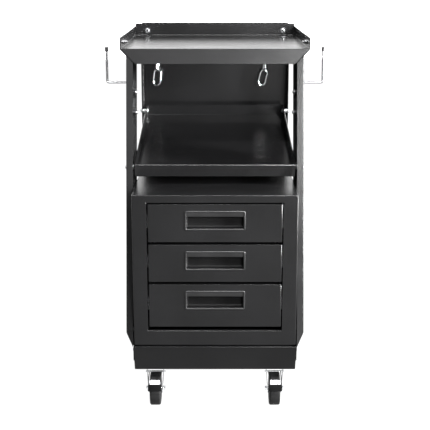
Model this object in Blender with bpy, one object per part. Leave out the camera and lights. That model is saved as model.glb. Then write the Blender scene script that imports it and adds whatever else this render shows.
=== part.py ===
"""Rolling tool chest: a sheet-steel cabinet with three drawers on a castor base.

Two leaning posts and a back panel carry a slanted shelf and a top tray above the cabinet.
Metres, +Z up, the front faces -Y, the origin is on the floor under the middle of the chest.
"""

import math

import bmesh
import bpy
from mathutils import Matrix, Vector

# ---- Driving sizes ---------------------------------------------------------------------------
SHEET = 0.0012  # thickness of every folded sheet
FIT = 0.0003  # gap between two pieces that touch
HOLE_FIT = 0.0003  # radial clearance of a bolt, pin or rod in its hole
ROUND = 24  # sides of a round piece
SMALL_ROUND = 12  # sides of a bolt, rod or pin

CHEST_DEPTH = 0.628  # drawer handles to the back panel's rear face
HANDLE_PROUD = 0.0015  # a handle's frame in front of the drawer front

BASE_HEIGHT = 0.0677
BASE_BEYOND_CABINET = 0.0025  # the pan's side outside the cabinet's
KICK_RAKE = 0.026  # how far the kick panel's foot is set back
BASE_LIP = 0.012  # flange turned inwards around the pan's top

CABINET_HALF_WIDTH = 0.1890
CABINET_GAP = 0.0045  # shadow gap between the base pan and the cabinet
CABINET_FOOT_INSET = 0.006  # the raised foot of the cabinet inside its outline
OPENING_SIDE_BORDER = 0.0330
OPENING_TOP_BORDER = 0.018  # cabinet top down to the drawer opening
OPENING_BOTTOM_BORDER = 0.0355

DRAWER_HEIGHTS = (0.089, 0.089, 0.1035)  # fronts, top drawer first
DRAWER_GAP = 0.006  # between two fronts
DRAWER_TOP_GAP = 0.003
DRAWER_BOTTOM_GAP = 0.0095
DRAWER_SIDE_GAP = 0.0023
DRAWER_FRONT_THICKNESS = 0.020
DRAWER_REAR_SPACE = 0.125  # drawer boxes to the cabinet's rear
DRAWER_BOX_BELOW_TOP = 0.020  # box rim under the front's top edge
DRAWER_BOX_ABOVE_FOOT = 0.008

RAIL_SHORTER_THAN_BOX = 0.030
RAIL_HEIGHT = 0.035
RAIL_FLANGE = 0.0092
RAIL_BALL = 0.0038  # ball race between the two members
SLIDE_THICKNESS = 0.0126  # both members together

HANDLE_WIDTH = 0.139
HANDLE_HEIGHT = 0.046
HANDLE_DROP = 0.015  # drawer front's top edge down to the handle
HANDLE_RIM = 0.0035  # frame lying on the drawer front around the cup
HANDLE_CUP_DEPTH = 0.0165
HANDLE_MOUTH_HEIGHT = 0.027
HANDLE_WALL = 0.0012

POST_BEYOND_BASE = 0.0163  # a post's outer face outside the pan's side
POST_DEPTH = 0.110
POST_FLANGE = 0.0158  # front flange, and the height over which both taper under the ear
POST_REAR_FLANGE = 0.0171
POST_TAB = 0.041  # tab bolted to the base pan's side
POST_FLARE_FOOT = 0.032  # height over which the post spreads above the tab
POST_EAR = 0.0265  # ear outside the tray's side wall
POST_HEM = 0.0002  # what is left of the flanges along the tab and the ear

TRAY_ABOVE_CABINET = 0.315  # cabinet top to the tray's floor
TRAY_BEYOND_POST = 0.0135
TRAY_FRONT = 0.158  # cabinet face back to the tray's front edge
TRAY_SIDE_WALL = 0.025
TRAY_BACK_WALL = 0.032
TRAY_APRON = 0.0345

BACK_PANEL_INSIDE_POST = 0.005
BACK_PANEL_ABOVE_TRAY = 0.003
BACK_PANEL_FLANGE = 0.065
BACK_PANEL_CORNER = 0.006

SHELF_SIDE_GAP = 0.0003  # post's rear flange to the shelf's side
SHELF_FRONT = 0.108  # cabinet face back to the shelf's front bottom edge
SHELF_ABOVE_CABINET = 0.0205
SHELF_SHORTER_THAN_CHEST = 0.1467
SHELF_RISE = 0.0775  # front to rear, along its length
SHELF_WALL = 0.030
SHELF_BOLT_INSET = (0.026, 0.0078)  # front and rear bolts from the shelf's ends
SHELF_BOLT_R = 0.003

HOOK_ROD_R = 0.00275
HOOK_REACH = 0.0498  # post's outer face out to the rod's upright
HOOK_BELOW_TRAY = 0.083
HOOK_UPRIGHT = 0.083
HOOK_BEND = 0.005
HOOK_BEHIND_POST_FRONT = 0.0610
HOOK_PLATE = (0.0018, 0.024, 0.092)  # thickness, width, height
HOOK_CAP_WALL = 0.0010
HOOK_CAP_LENGTH = 0.0105

RING_LENGTH = 0.047
RING_WIDTH = 0.023
RING_WIRE_R = 0.0020
RING_PLACES = (("left", -1, 0.0428, 0.08), ("right", 1, 0.0653, 0.24))  # side, inset, lean in radians
RING_EYE_BELOW_TRAY = 0.0985  # tray floor to the middle of the eye wire that a ring hangs on
RING_AHEAD_OF_PANEL = 0.025
RING_FIT = 0.0010  # gap between a ring and the eye it swings on
EYE_WIRE_R = 0.0017
EYE_LENGTH = 0.036
EYE_WIDTH = 0.015
EYE_TURN = 0.45  # an eye's plane, turned from square to the back panel
EYE_PLATE = (0.016, 0.0016, 0.014)

CASTOR_INSIDE_BASE = 0.0475
CASTOR_FRONT = 0.089  # cabinet face back to the front swivels
CASTOR_REAR = 0.0965  # back panel forward to the rear swivels
CASTOR_TRAIL = 0.028
CASTOR_PLATE = (0.066, 0.080, 0.0025)
WHEEL_R = 0.040
WHEEL_HALF_WIDTH = 0.013
HUB_HALF_WIDTH = 0.0144
HUB_R = 0.011
HUB_FLARE = 0.002
TREAD_CHAMFER = 0.003
TYRE_DEPTH = 0.013
AXLE_R = 0.004
AXLE_NUT_GAP = 0.0008  # fork leg to nut
AXLE_NUT_LENGTH = 0.0048
FORK_SHEET = 0.002
FORK_FOOT_HALF_WIDTH = 0.0175
FORK_TOP_HALF_WIDTH = 0.0215
FORK_HALF_LENGTH = 0.0225
FORK_EYE_R = 0.011
CROWN_THICKNESS = 0.003
CROWN_ABOVE_WHEEL = 0.0109
RACEWAY_R = 0.0225
RACEWAY_HEIGHT = 0.0063
KINGPIN_R = 0.006
KINGPIN_HEAD_R = 0.010
KINGPIN_HEAD_HEIGHT = 0.002
PEDAL_HALF_WIDTH = 0.016
PEDAL_SHEET = 0.0025
PEDAL_PIN_R = 0.0025
PEDAL_PIN_PROUD = 0.0025  # each end of the pin, outside the fork
PEDAL_PIN_BEYOND_AXLE = 0.001
PEDAL_PIN_ABOVE_WHEEL = 0.0045
PEDAL_KNEE = (0.019, 0.004)  # from the pin to the bend: outwards, down
PEDAL_TOE = (0.011, 0.0155)  # outwards of the wheel, under the pin
PEDAL_LIP = 0.0135
FORK_BELOW_PEDAL_PIN = 0.009

# ---- Places worked out from the driving sizes ------------------------------------------------
FACE_Y = HANDLE_PROUD - CHEST_DEPTH / 2  # the cabinet's front face
REAR_Y = CHEST_DEPTH / 2
PANEL_FRONT_Y = REAR_Y - SHEET
CARCASS_REAR_Y = PANEL_FRONT_Y - FIT  # rear of the pan, the cabinet and the tray
BASE_HALF_WIDTH = CABINET_HALF_WIDTH + BASE_BEYOND_CABINET
OPENING_HALF_WIDTH = CABINET_HALF_WIDTH - OPENING_SIDE_BORDER
POST_HALF_WIDTH = BASE_HALF_WIDTH + POST_BEYOND_BASE
TRAY_HALF_WIDTH = POST_HALF_WIDTH + TRAY_BEYOND_POST
BACK_PANEL_HALF_WIDTH = POST_HALF_WIDTH - BACK_PANEL_INSIDE_POST
SHELF_HALF_WIDTH = POST_HALF_WIDTH - POST_REAR_FLANGE - SHELF_SIDE_GAP
CASTOR_X = BASE_HALF_WIDTH - CASTOR_INSIDE_BASE
DRAWER_BOX_DEPTH = CARCASS_REAR_Y - FACE_Y - DRAWER_FRONT_THICKNESS - DRAWER_REAR_SPACE
RAIL_LENGTH = DRAWER_BOX_DEPTH - RAIL_SHORTER_THAN_BOX
SHELF_LENGTH = CHEST_DEPTH - SHELF_SHORTER_THAN_CHEST
CASTOR_HEAD = CROWN_ABOVE_WHEEL + CROWN_THICKNESS + FIT + RACEWAY_HEIGHT + CASTOR_PLATE[2]
BASE_BOTTOM_Z = 2 * WHEEL_R + CASTOR_HEAD + FIT  # underside of the base pan, on the castor plates
BASE_TOP_Z = BASE_BOTTOM_Z + BASE_HEIGHT
CABINET_BOTTOM_Z = BASE_TOP_Z + CABINET_GAP
DRAWER_STACK = DRAWER_TOP_GAP + sum(DRAWER_HEIGHTS) + 2 * DRAWER_GAP + DRAWER_BOTTOM_GAP
CABINET_HEIGHT = OPENING_TOP_BORDER + DRAWER_STACK + OPENING_BOTTOM_BORDER
CABINET_TOP_Z = CABINET_BOTTOM_Z + CABINET_HEIGHT
OPENING_TOP_Z = CABINET_TOP_Z - OPENING_TOP_BORDER
OPENING_BOTTOM_Z = CABINET_BOTTOM_Z + OPENING_BOTTOM_BORDER
TRAY_FLOOR_Z = CABINET_TOP_Z + TRAY_ABOVE_CABINET  # top face of the tray floor
RING_EYE_Z = TRAY_FLOOR_Z - RING_EYE_BELOW_TRAY
LEAN = TRAY_FRONT / (TRAY_FLOOR_Z - BASE_TOP_Z)  # a post's front edge, back per height
RAKE = KICK_RAKE / (BASE_TOP_Z - BASE_BOTTOM_Z)
TAB_OUTER_X = BASE_HALF_WIDTH + FIT + SHEET
EAR_OUTER_X = TRAY_HALF_WIDTH + FIT + SHEET
EAR_FOOT_Z = TRAY_FLOOR_Z - SHEET - FIT
FLARE_Z = EAR_FOOT_Z - (EAR_OUTER_X - POST_HALF_WIDTH)
SHELF_ANGLE = math.asin(SHELF_RISE / SHELF_LENGTH)
SHELF_Z = CABINET_TOP_Z + SHELF_ABOVE_CABINET
WHEEL_Z = WHEEL_R


def post_front_y(z):
    """The front line of the posts: it leans back above the pan's top, and follows the kick panel below."""
    above = z - BASE_TOP_Z
    return FACE_Y + (above * LEAN if above > 0 else -above * RAKE)


# ---- Materials -------------------------------------------------------------------------------
def finish(name, colour, roughness, metallic):
    made = bpy.data.materials.new(name)
    made.use_nodes = True
    shader = made.node_tree.nodes["Principled BSDF"]
    shader.inputs["Base Color"].default_value = (*colour, 1)
    shader.inputs["Roughness"].default_value = roughness
    shader.inputs["Metallic"].default_value = metallic
    return made


BLACK_PAINT = finish("black_paint", (0.020, 0.020, 0.021), 0.38, 0.0)
ZINC = finish("zinc", (0.62, 0.63, 0.64), 0.32, 1.0)
CHROME = finish("chrome", (0.80, 0.80, 0.81), 0.12, 1.0)
BLACK_PLASTIC = finish("black_plastic", (0.012, 0.012, 0.012), 0.45, 0.0)
GREY_RUBBER = finish("grey_rubber", (0.055, 0.055, 0.057), 0.70, 0.0)

for leftover in list(bpy.data.objects):
    bpy.data.objects.remove(leftover, do_unlink=True)


# ---- Modelling steps -------------------------------------------------------------------------
def add_box(bm, low, high):
    low, high = Vector(low), Vector(high)
    place = Matrix.Translation((low + high) / 2) @ Matrix.Diagonal((*(high - low), 1))
    return bmesh.ops.create_cube(bm, size=1, matrix=place)["verts"]


def add_loft(bm, rings):
    """A closed solid through rings of equal count, with a cap on the first and the last."""
    rows = [[bm.verts.new(point) for point in ring] for ring in rings]
    for row, following in zip(rows, rows[1:]):
        for i in range(len(row)):
            j = (i + 1) % len(row)
            bm.faces.new((row[i], row[j], following[j], following[i]))
    bm.faces.new(rows[0])
    bm.faces.new(rows[-1])


def on_axis(axis, along, across, up):
    """A point of an outline that lies square to an axis: X takes (y, z), Y takes (x, z), Z takes (x, y)."""
    return {"X": (along, across, up), "Y": (across, along, up), "Z": (across, up, along)}[axis]


def add_prism(bm, outline, axis, start, end):
    add_loft(bm, [[on_axis(axis, along, *point) for point in outline] for along in (start, end)])


def circle(radius, sides, centre=(0, 0), start=0.0, sweep=math.tau):
    """Points of a circle, or of an arc with both its ends when sweep is less than a full turn."""
    steps = sides if sweep == math.tau else sides + 1
    turns = [start + sweep * i / sides for i in range(steps)]
    return [(centre[0] + radius * math.cos(t), centre[1] + radius * math.sin(t)) for t in turns]


def hexagon(radius, centre=(0, 0)):
    """A hexagon with a point in the middle of each flat, so that it joins a round shank of 12 sides."""
    flat = radius * math.cos(math.pi / 6)
    around = [(radius if i % 2 == 0 else flat, math.tau * i / 12) for i in range(12)]
    return [(centre[0] + r * math.cos(t), centre[1] + r * math.sin(t)) for r, t in around]


def add_turned(bm, axis, centre, steps, sides=SMALL_ROUND):
    """A turned piece: steps are (distance along the axis, radius or a finished outline)."""
    rings = []
    for along, shape in steps:
        outline = circle(shape, sides, centre) if isinstance(shape, float) else shape
        rings.append([on_axis(axis, along, *point) for point in outline])
    add_loft(bm, rings)


def add_ring_solid(bm, axis, centre, profile, sides):
    """A turned piece with a bore: profile is a closed loop of (distance along the axis, radius)."""
    rows = []
    for along, radius in profile:
        rows.append([bm.verts.new(on_axis(axis, along, *p)) for p in circle(radius, sides, centre)])
    for row, following in zip(rows, rows[1:] + rows[:1]):
        for i in range(sides):
            j = (i + 1) % sides
            bm.faces.new((row[i], row[j], following[j], following[i]))


def add_wire(bm, path, normal, radius, closed, sides=8):
    """A round wire along a path that lies in the plane square to normal."""
    normal = Vector(normal).normalized()
    path = [Vector(point) for point in path]
    count = len(path)
    rings = []
    for i, point in enumerate(path):
        before = path[i - 1] if closed or i else point
        after = path[(i + 1) % count] if closed or i + 1 < count else point
        side = normal.cross((after - before).normalized())
        ring = [side * (radius * c) + normal * (radius * s) for c, s in circle(1.0, sides)]
        rings.append([point + offset for offset in ring])
    if not closed:
        add_loft(bm, rings)
        return
    rows = [[bm.verts.new(point) for point in ring] for ring in rings]
    for row, following in zip(rows, rows[1:] + rows[:1]):
        for i in range(sides):
            j = (i + 1) % sides
            bm.faces.new((row[i], row[j], following[j], following[i]))


def link_path(length, width, wire_r, steps=6):
    """The middle line of an oval link standing on (0, 0), as (across, up) points."""
    r = width / 2 - wire_r
    low, high = r, length - 2 * wire_r - r
    return circle(r, steps, (0, low), math.pi, math.pi) + circle(r, steps, (0, high), 0, math.pi)


def make_object(name, bm, origin=(0, 0, 0)):
    bmesh.ops.recalc_face_normals(bm, faces=bm.faces)
    bmesh.ops.translate(bm, verts=bm.verts, vec=-Vector(origin))
    mesh = bpy.data.meshes.new(name)
    bm.to_mesh(mesh)
    bm.free()
    made = bpy.data.objects.new(name, mesh)
    made.location = origin
    bpy.context.scene.collection.objects.link(made)
    return made


def drawn(draw):
    """A bmesh made by calling draw with it."""
    bm = bmesh.new()
    draw(bm)
    return bm


def piece(name, material, body, joined=(), cut=(), origin=(0, 0, 0), parent=None, smooth=False):
    """One sub-part: its body, with the joined solids added and the cut ones taken away."""
    made = make_object(name, drawn(body), origin)
    for operation, draws in (("UNION", joined), ("DIFFERENCE", cut)):
        for number, draw in enumerate(draws, 1):
            tool = make_object(f"{name}_{operation.lower()}_{number}", drawn(draw))
            tool.hide_render = True
            tool.display_type = "WIRE"
            boolean = made.modifiers.new(f"{operation.title()} {number}", "BOOLEAN")
            boolean.operation = operation
            boolean.object = tool
    made.data.materials.append(material)
    if smooth:
        made.data.shade_smooth()
        made.data.set_sharp_from_angle(angle=math.radians(35))
    if parent:
        made.parent = parent
        made.location = Vector(origin) - parent.matrix_world.translation
    return made


def joint_empty(name, place, parent=None):
    """An empty on a joint's axis, which carries the pieces that move together."""
    made = bpy.data.objects.new(name, None)
    made.empty_display_size = 0.03
    made.location = place
    bpy.context.scene.collection.objects.link(made)
    if parent:
        made.parent = parent
        made.location = Vector(place) - parent.matrix_world.translation
    bpy.context.view_layer.update()
    return made


def mirrored(side, low, high):
    """A box's corners, with X turned to the chest's left for side -1."""
    xs = sorted((side * low[0], side * high[0]))
    return (xs[0], *low[1:]), (xs[1], *high[1:])


# ---- Base pan --------------------------------------------------------------------------------
def base_pan():
    def outline(inset, low, high):
        front = FACE_Y + inset
        rear = CARCASS_REAR_Y - inset
        return [
            (front + (BASE_TOP_Z - low) * RAKE, low),
            (rear, low),
            (rear, high),
            (front + (BASE_TOP_Z - high) * RAKE, high),
        ]

    w = BASE_HALF_WIDTH
    hollow = outline(SHEET, BASE_BOTTOM_Z + SHEET, BASE_TOP_Z - SHEET)
    mouth_low = (BASE_LIP - w, FACE_Y + BASE_LIP, BASE_TOP_Z - 3 * SHEET)
    mouth_high = (w - BASE_LIP, CARCASS_REAR_Y - BASE_LIP, BASE_TOP_Z + SHEET)
    piece(
        "base_pan",
        BLACK_PAINT,
        lambda bm: add_prism(bm, outline(0, BASE_BOTTOM_Z, BASE_TOP_Z), "X", -w, w),
        cut=[
            lambda bm: add_prism(bm, hollow, "X", SHEET - w, w - SHEET),
            lambda bm: add_box(bm, mouth_low, mouth_high),
        ],
    )


# ---- Cabinet ---------------------------------------------------------------------------------
def cabinet():
    w = CABINET_HALF_WIDTH
    foot = w - CABINET_FOOT_INSET
    foot_front = FACE_Y + CABINET_FOOT_INSET
    foot_rear = CARCASS_REAR_Y - CABINET_FOOT_INSET
    foot_z = BASE_TOP_Z + FIT
    inside_low = (SHEET - w, FACE_Y + SHEET, CABINET_BOTTOM_Z + SHEET)
    inside_high = (w - SHEET, CARCASS_REAR_Y - SHEET, CABINET_TOP_Z - SHEET)
    dish_low = (SHEET - foot, foot_front + SHEET, foot_z + SHEET)
    dish_high = (foot - SHEET, foot_rear - SHEET, CABINET_BOTTOM_Z + 2 * SHEET)
    opening_low = (-OPENING_HALF_WIDTH, FACE_Y - SHEET, OPENING_BOTTOM_Z)
    opening_high = (OPENING_HALF_WIDTH, FACE_Y + 2 * SHEET, OPENING_TOP_Z)
    shell_low = (-w, FACE_Y, CABINET_BOTTOM_Z)
    shell_high = (w, CARCASS_REAR_Y, CABINET_TOP_Z)
    foot_low = (-foot, foot_front, foot_z)
    foot_high = (foot, foot_rear, CABINET_BOTTOM_Z + SHEET)
    piece(
        "cabinet_shell",
        BLACK_PAINT,
        lambda bm: add_box(bm, shell_low, shell_high),
        joined=[lambda bm: add_box(bm, foot_low, foot_high)],
        cut=[
            lambda bm: add_box(bm, inside_low, inside_high),
            lambda bm: add_box(bm, dish_low, dish_high),
            lambda bm: add_box(bm, opening_low, opening_high),
        ],
    )

    web_x = OPENING_HALF_WIDTH + FIT
    reach = w - SHEET - FIT
    low, high = inside_low[2] + FIT, inside_high[2] - FIT
    channel = [
        (reach, low),
        (web_x, low),
        (web_x, high),
        (reach, high),
        (reach, high - SHEET),
        (web_x + SHEET, high - SHEET),
        (web_x + SHEET, low + SHEET),
        (reach, low + SHEET),
    ]
    start = FACE_Y + SHEET + FIT
    end = FACE_Y + DRAWER_FRONT_THICKNESS + DRAWER_BOX_DEPTH
    for name, side in (("left", -1), ("right", 1)):
        turned = [(side * x, z) for x, z in channel]
        piece(f"{name}_slide_panel", BLACK_PAINT, lambda bm: add_prism(bm, turned, "Y", start, end))


# ---- Drawers and their slides ----------------------------------------------------------------
def drawer_handle(name, parent, top_z):
    high = top_z - HANDLE_DROP
    low = high - HANDLE_HEIGHT
    cup_half = HANDLE_WIDTH / 2 - HANDLE_RIM
    frame_low = (-HANDLE_WIDTH / 2, FACE_Y - HANDLE_PROUD, low)
    frame_high = (HANDLE_WIDTH / 2, FACE_Y - FIT, high)
    cup_low = (-cup_half, FACE_Y - HANDLE_PROUD / 2, low + HANDLE_RIM)
    cup_high = (cup_half, FACE_Y + HANDLE_CUP_DEPTH, high - HANDLE_RIM)
    floor_z = cup_low[2] + HANDLE_WALL
    ceiling_z = cup_high[2] - HANDLE_WALL
    back_y = cup_high[1] - HANDLE_WALL
    lip_z = floor_z + HANDLE_MOUTH_HEIGHT
    hollow = [
        (FACE_Y - 2 * HANDLE_PROUD, floor_z),
        (back_y, floor_z),
        (back_y, ceiling_z),
        (FACE_Y + HANDLE_WALL, ceiling_z),
        (FACE_Y + HANDLE_WALL, lip_z + HANDLE_WALL),
        (FACE_Y, lip_z),
        (FACE_Y - 2 * HANDLE_PROUD, lip_z),
    ]
    inside = cup_half - HANDLE_WALL
    piece(
        name,
        BLACK_PLASTIC,
        lambda bm: add_box(bm, frame_low, frame_high),
        joined=[lambda bm: add_box(bm, cup_low, cup_high)],
        cut=[lambda bm: add_prism(bm, hollow, "X", -inside, inside)],
        origin=parent.matrix_world.translation,
        parent=parent,
    )


def slide_members(number, parent, middle_z):
    """The two members of each ball slide: one on the slide panel, one on the drawer box."""
    start = FACE_Y + DRAWER_FRONT_THICKNESS + 4 * FIT
    outer_x = OPENING_HALF_WIDTH
    inner_x = OPENING_HALF_WIDTH - SLIDE_THICKNESS
    outer_half = RAIL_HEIGHT / 2
    inner_half = outer_half - SHEET - RAIL_BALL

    def channel(back_x, towards, half):
        lip = back_x + towards * RAIL_FLANGE
        web = back_x + towards * SHEET
        return [
            (back_x, -half),
            (lip, -half),
            (lip, SHEET - half),
            (web, SHEET - half),
            (web, half - SHEET),
            (lip, half - SHEET),
            (lip, half),
            (back_x, half),
        ]

    for side_name, side in (("left", -1), ("right", 1)):
        for kind, back_x, towards, half, holder in (
            ("outer", outer_x, -1, outer_half, None),
            ("inner", inner_x, 1, inner_half, parent),
        ):
            outline = [(side * x, middle_z + z) for x, z in channel(back_x, towards, half)]
            piece(
                f"{kind}_rail_{number}_{side_name}",
                ZINC,
                lambda bm: add_prism(bm, outline, "Y", start, start + RAIL_LENGTH),
                origin=parent.matrix_world.translation if holder else (0, 0, 0),
                parent=holder,
            )


def drawer(number, top_z, height):
    bottom_z = top_z - height
    middle_z = (top_z + bottom_z) / 2
    half = OPENING_HALF_WIDTH - DRAWER_SIDE_GAP
    rear_y = FACE_Y + DRAWER_FRONT_THICKNESS
    slide = joint_empty(f"drawer_{number}_slide", (0, FACE_Y, middle_z))
    middle = slide.matrix_world.translation
    hole_half = HANDLE_WIDTH / 2 - HANDLE_RIM + FIT
    hole_high = top_z - HANDLE_DROP - HANDLE_RIM + FIT
    hole_low = top_z - HANDLE_DROP - HANDLE_HEIGHT + HANDLE_RIM - FIT
    front_low, front_high = (-half, FACE_Y, bottom_z), (half, rear_y, top_z)
    hollow_low = (SHEET - half, FACE_Y + SHEET, bottom_z + SHEET)
    hollow_high = (half - SHEET, rear_y + SHEET, top_z - SHEET)
    hole_box = (-hole_half, FACE_Y - SHEET, hole_low), (hole_half, FACE_Y + 2 * SHEET, hole_high)
    piece(
        f"drawer_{number}_front",
        BLACK_PAINT,
        lambda bm: add_box(bm, front_low, front_high),
        cut=[lambda bm: add_box(bm, hollow_low, hollow_high), lambda bm: add_box(bm, *hole_box)],
        origin=middle,
        parent=slide,
    )

    box_half = OPENING_HALF_WIDTH - SLIDE_THICKNESS - FIT
    box_low = (-box_half, rear_y + FIT, bottom_z + DRAWER_BOX_ABOVE_FOOT)
    box_high = (box_half, rear_y + DRAWER_BOX_DEPTH, top_z - DRAWER_BOX_BELOW_TOP)
    inner_low = tuple(value + SHEET for value in box_low)
    inner_high = (box_high[0] - SHEET, box_high[1] - SHEET, box_high[2] + SHEET)
    piece(
        f"drawer_{number}_box",
        BLACK_PAINT,
        lambda bm: add_box(bm, box_low, box_high),
        cut=[lambda bm: add_box(bm, inner_low, inner_high)],
        origin=middle,
        parent=slide,
    )
    drawer_handle(f"drawer_{number}_handle", slide, top_z)
    slide_members(number, slide, middle_z)


def drawers():
    top_z = OPENING_TOP_Z - DRAWER_TOP_GAP
    for number, height in enumerate(DRAWER_HEIGHTS, 1):
        drawer(number, top_z, height)
        top_z -= height + DRAWER_GAP


# ---- Shelf -----------------------------------------------------------------------------------
def shelf_point(along, up):
    """World (y, z) of a point of the slanted shelf: along its floor from the front edge, and up from it."""
    y = along * math.cos(SHELF_ANGLE) - up * math.sin(SHELF_ANGLE)
    z = along * math.sin(SHELF_ANGLE) + up * math.cos(SHELF_ANGLE)
    return FACE_Y + SHELF_FRONT + y, SHELF_Z + z


def shelf_bolt_places():
    up = SHELF_WALL / 2
    return {
        "front": shelf_point(SHELF_BOLT_INSET[0], up),
        "rear": shelf_point(SHELF_LENGTH - SHELF_BOLT_INSET[1], up),
    }


def add_cross_hole(bm, centre, radius, low_x, high_x):
    add_turned(bm, "X", centre, [(low_x, radius), (high_x, radius)])


def slanted_shelf():
    def outline(wall, top):
        ends = ((wall, wall), (SHELF_LENGTH - wall, wall), (SHELF_LENGTH - wall, top), (wall, top))
        return [shelf_point(*end) for end in ends]

    w = SHELF_HALF_WIDTH
    holes = [
        lambda bm, centre=centre, side=side: add_cross_hole(
            bm, centre, SHELF_BOLT_R + HOLE_FIT, side * w - 2 * SHEET, side * w + 2 * SHEET
        )
        for centre in shelf_bolt_places().values()
        for side in (-1, 1)
    ]
    piece(
        "slanted_shelf",
        BLACK_PAINT,
        lambda bm: add_prism(bm, outline(0, SHELF_WALL), "X", -w, w),
        cut=[lambda bm: add_prism(bm, outline(SHEET, 2 * SHELF_WALL), "X", SHEET - w, w - SHEET)]
        + holes,
    )
    outer_walls = {"front": POST_HALF_WIDTH, "rear": BACK_PANEL_HALF_WIDTH}
    for place, centre in shelf_bolt_places().items():
        wall = outer_walls[place]
        for name, side in (("left", -1), ("right", 1)):
            nut = hexagon(1.9 * SHELF_BOLT_R, centre)
            shank = SHELF_BOLT_R
            steps = [
                (w - SHEET - FIT - 1.4 * SHELF_BOLT_R, 1.1 * SHELF_BOLT_R),
                (w - SHEET - FIT - 0.8 * SHELF_BOLT_R, 1.7 * SHELF_BOLT_R),
                (w - SHEET - FIT, 1.9 * SHELF_BOLT_R),
                (w - SHEET - FIT, shank),
                (w + FIT, shank),
                (w + FIT, nut),
                (wall - SHEET - FIT, nut),
                (wall - SHEET - FIT, shank),
                (wall + FIT, shank),
                (wall + FIT, nut),
                (wall + FIT + 1.6 * SHELF_BOLT_R, nut),
            ]
            steps = [(side * along, shape) for along, shape in steps]
            piece(
                f"shelf_bolt_{place}_{name}",
                ZINC,
                lambda bm: add_turned(bm, "X", centre, steps),
                smooth=True,
            )


# ---- Posts, back panel and tray --------------------------------------------------------------
def hook_place():
    z = TRAY_FLOOR_Z - HOOK_BELOW_TRAY
    return post_front_y(z) + HOOK_BEHIND_POST_FRONT, z


def post(name, side):
    """A folded channel, open to the chest's middle. A station is z, outer x, and each flange's inner x."""
    front_x = POST_HALF_WIDTH - POST_FLANGE
    rear_x = POST_HALF_WIDTH - POST_REAR_FLANGE
    hem = SHEET + POST_HEM
    stations = [
        (BASE_TOP_Z - POST_TAB, TAB_OUTER_X, TAB_OUTER_X - hem, TAB_OUTER_X - hem),
        (BASE_TOP_Z, TAB_OUTER_X, TAB_OUTER_X - hem, TAB_OUTER_X - hem),
        (BASE_TOP_Z + SHEET, TAB_OUTER_X + POST_HEM, front_x, rear_x),
        (BASE_TOP_Z + POST_FLARE_FOOT, POST_HALF_WIDTH, front_x, rear_x),
        (FLARE_Z - POST_FLANGE + SHEET, POST_HALF_WIDTH, front_x, rear_x),
        (FLARE_Z, POST_HALF_WIDTH, POST_HALF_WIDTH - hem, POST_HALF_WIDTH - hem),
        (EAR_FOOT_Z, EAR_OUTER_X, EAR_OUTER_X - hem, EAR_OUTER_X - hem),
        (EAR_FOOT_Z + POST_EAR, EAR_OUTER_X, EAR_OUTER_X - hem, EAR_OUTER_X - hem),
    ]

    def channel(bm):
        rings = []
        for z, outer_x, flange_x, rear_flange_x in stations:
            front = post_front_y(z)
            rear = front + POST_DEPTH
            web_x = outer_x - SHEET
            section = [
                (flange_x, front),
                (outer_x, front),
                (outer_x, rear),
                (rear_flange_x, rear),
                (rear_flange_x, rear - SHEET),
                (web_x, rear - SHEET),
                (web_x, front + SHEET),
                (flange_x, front + SHEET),
            ]
            rings.append([(side * x, y, z) for x, y in section])
        add_loft(bm, rings)

    edges = sorted((side * (POST_HALF_WIDTH - 2 * SHEET), side * (POST_HALF_WIDTH + SHEET)))
    bolt_place = shelf_bolt_places()["front"]
    piece(
        name,
        BLACK_PAINT,
        channel,
        cut=[
            lambda bm: add_cross_hole(bm, hook_place(), HOOK_ROD_R + HOLE_FIT, *edges),
            lambda bm: add_cross_hole(bm, bolt_place, SHELF_BOLT_R + HOLE_FIT, *edges),
        ],
    )


def back_panel():
    w = BACK_PANEL_HALF_WIDTH
    foot_z = BASE_BOTTOM_Z + 2 * SHEET
    top_z = TRAY_FLOOR_Z + TRAY_BACK_WALL + BACK_PANEL_ABOVE_TRAY
    c = BACK_PANEL_CORNER
    sheet = [(-w, foot_z), (w, foot_z), (w, top_z - c), (w - c, top_z), (c - w, top_z)]
    sheet += [(-w, top_z - c)]
    flange_low = (w - SHEET, REAR_Y - BACK_PANEL_FLANGE, foot_z)
    flange_high = (w, REAR_Y, TRAY_FLOOR_Z - SHEET - 2 * FIT)
    hole = SHELF_BOLT_R + HOLE_FIT
    centre = shelf_bolt_places()["rear"]
    piece(
        "back_panel",
        BLACK_PAINT,
        lambda bm: add_prism(bm, sheet, "Y", PANEL_FRONT_Y, REAR_Y),
        joined=[
            lambda bm, side=side: add_box(bm, *mirrored(side, flange_low, flange_high))
            for side in (-1, 1)
        ],
        cut=[
            lambda bm, side=side: add_cross_hole(
                bm, centre, hole, side * w - 2 * SHEET, side * w + 2 * SHEET
            )
            for side in (-1, 1)
        ],
    )


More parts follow.
